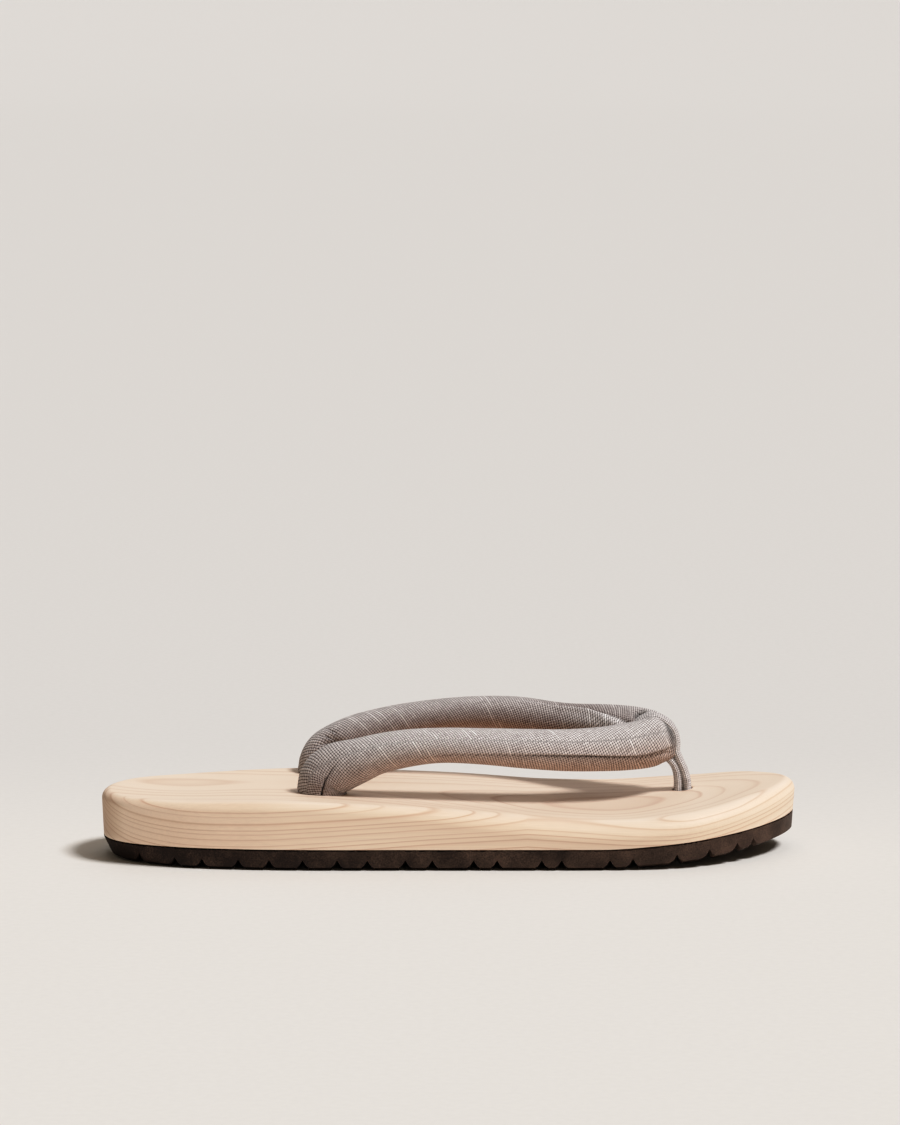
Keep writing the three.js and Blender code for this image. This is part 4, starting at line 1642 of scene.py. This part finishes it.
@dataclass(frozen=True)
class Studio:
    """Paper sweep, lights and the camera at the photograph's view, in metres."""

    paper: PaperSweep
    pieces: tuple[Object, ...]
    floor_rings: tuple[float, ...] = (0.0, 0.3, 1.0, 3.0, 10.0)
    floor_radius: float = 24.0
    rise_radius: float = 40.0
    rise_angle: float = 30.0
    rise_rings: int = 24
    sweep_sides: int = 128
    eye: tuple[float, float, float] = (0.0, -1.67417, 0.31520)
    look_down: float = 6.842
    lens: float = 136.58
    sensor: float = 36.0
    sight: float = 200.0
    sky: str = "#f3e3cf"
    sky_strength: float = 0.19
    lights: tuple[SunLight, ...] = (
        SunLight("key", (0.6, -0.25, 1.0), 16.0, 2.75, "#fdfdff"),
        SunLight("front_fill", (0.42, -1.0, 0.1), 40.0, 1.1, "#fffaf5"),
        SunLight("back_light", (0.15, 1.0, 1.0), 50.0, 0.45, "#ffffff"),
    )
    # Light that falls on the sandal and not on the paper
    sandal_light: str = "front_fill"
    print_curve: tuple[tuple[float, float], ...] = (
        (0.0, 0.0), (0.03, 0.014), (0.12, 0.09), (0.35, 0.33), (0.7, 0.71), (1.0, 0.93))

    def build(self) -> None:
        """Sets the stage, the lights, the camera and the picture's tone."""
        self.sweep()
        suns = {light.name: self.sun(light) for light in self.lights}
        lit = bpy.data.collections.new("sandal_for_fill")
        for piece in self.pieces:
            lit.objects.link(piece)
        suns[self.sandal_light].light_linking.receiver_collection = lit
        world = bpy.data.worlds.new("studio_sky")
        world.use_nodes = True
        sky = world.node_tree.nodes["Background"]
        sky.inputs["Color"].default_value = linear(self.sky)
        sky.inputs["Strength"].default_value = self.sky_strength
        bpy.context.scene.world = world
        self.camera()
        self.tone()

    def sweep(self) -> None:
        """Builds the round paper floor whose rim turns up into a low wall."""
        bend = np.radians(np.linspace(0.0, self.rise_angle, self.rise_rings))
        flat = np.array(self.floor_rings)
        reach = np.concatenate([flat, self.floor_radius + self.rise_radius * np.sin(bend)])
        height = np.concatenate([0.0 * flat, self.rise_radius * (1.0 - np.cos(bend))])
        turn = np.arange(self.sweep_sides) * 2 * math.pi / self.sweep_sides
        rings = [np.column_stack([r * np.cos(turn), r * np.sin(turn), np.full(self.sweep_sides, z)])
                 for r, z in zip(reach, height)]
        floor = grid_object("paper_sweep", np.array(rings) / MM, self.paper.material())

    def sun(self, light: SunLight) -> Object:
        """Adds one far soft light.

        Args:
            light: The light's settings.

        Returns:
            The light.
        """
        lamp = bpy.data.lights.new(light.name, "SUN")
        lamp.angle = math.radians(light.width)
        lamp.energy = light.strength
        lamp.color = linear(light.colour)[:3]
        holder = bpy.data.objects.new(light.name, lamp)
        holder.location = light.toward
        holder.rotation_euler = Vector(light.toward).to_track_quat("Z", "Y").to_euler()
        bpy.context.scene.collection.objects.link(holder)
        return holder

    def tone(self) -> None:
        """Gives the picture the photograph's print: deep darks and soft highlights."""
        view = bpy.context.scene.view_settings
        view.view_transform = "Standard"
        view.use_curve_mapping = True
        curve = view.curve_mapping.curves[3]
        for place, (light, shown) in enumerate(self.print_curve):
            if 0 < place < len(self.print_curve) - 1:
                curve.points.new(light, shown)
            else:
                curve.points[-1 if place else 0].location = light, shown
        view.curve_mapping.update()

    def camera(self) -> None:
        """Sets the camera where the photograph was taken from."""
        lens = bpy.data.cameras.new("photo_camera")
        lens.lens = self.lens
        lens.sensor_width = self.sensor
        lens.clip_end = self.sight
        camera = bpy.data.objects.new("photo_camera", lens)
        camera.location = self.eye
        camera.rotation_euler = (math.radians(90.0 - self.look_down), 0.0, 0.0)
        bpy.context.scene.collection.objects.link(camera)
        bpy.context.scene.camera = camera


def height_at(piece: Object, x: float, y: float) -> float:
    """Measures the top of a piece at one place.

    Args:
        piece: The piece.
        x: Place along the sole, in millimetres.
        y: Place across the sole, in millimetres.

    Returns:
        Height in millimetres.
    """
    tree = BVHTree.FromObject(piece, bpy.context.evaluated_depsgraph_get())
    hit = tree.ray_cast(Vector((x * MM, y * MM, 1.0)), -UP)[0]
    return hit.z / MM


def main() -> None:
    """Builds the sandal's pieces in order, logs their faces and sets the studio."""
    logging.basicConfig(level=logging.INFO, format="%(message)s")
    outline, profile = FootOutline(), SoleProfile()
    thong = PaddedThong(MelangeLinen())
    loop = ToeLoop(MelangeLinen(name="linen_melange_tube", pale="#f4efed", dark="#c6bebd",
                                yarn=0.8, bias=90.0, slub_length=5.0))
    wood = WoodBase(outline, profile, SandedHinoki())
    roots = [rows[0] for rows in (thong.outer_rows, thong.inner_rows)]
    blank = wood.build([])
    seat = min(height_at(blank, root.x, root.y) for root in roots)
    bpy.data.objects.remove(blank)
    holes = [(root.x, root.y, wood.rear_hole, wood.rear_hole) for root in roots]
    toe_hole_x = (loop.route[0].x + loop.route[-1].x) / 2
    base = wood.build([*holes, (toe_hole_x, loop.y, *wood.toe_hole)])
    stand_for(base, "wood_base")
    outsole = RubberOutsole(outline, profile, SoleRubber()).build()
    stand_for(outsole, "rubber_outsole")
    strap = thong.build(seat)
    stand_for(strap, "hanao_strap")
    toe_loop = loop.build()
    stand_for(toe_loop, "toe_loop")
    Studio(PaperSweep(), (base, outsole, strap, toe_loop)).build()


if __name__ == "__main__":
    main()
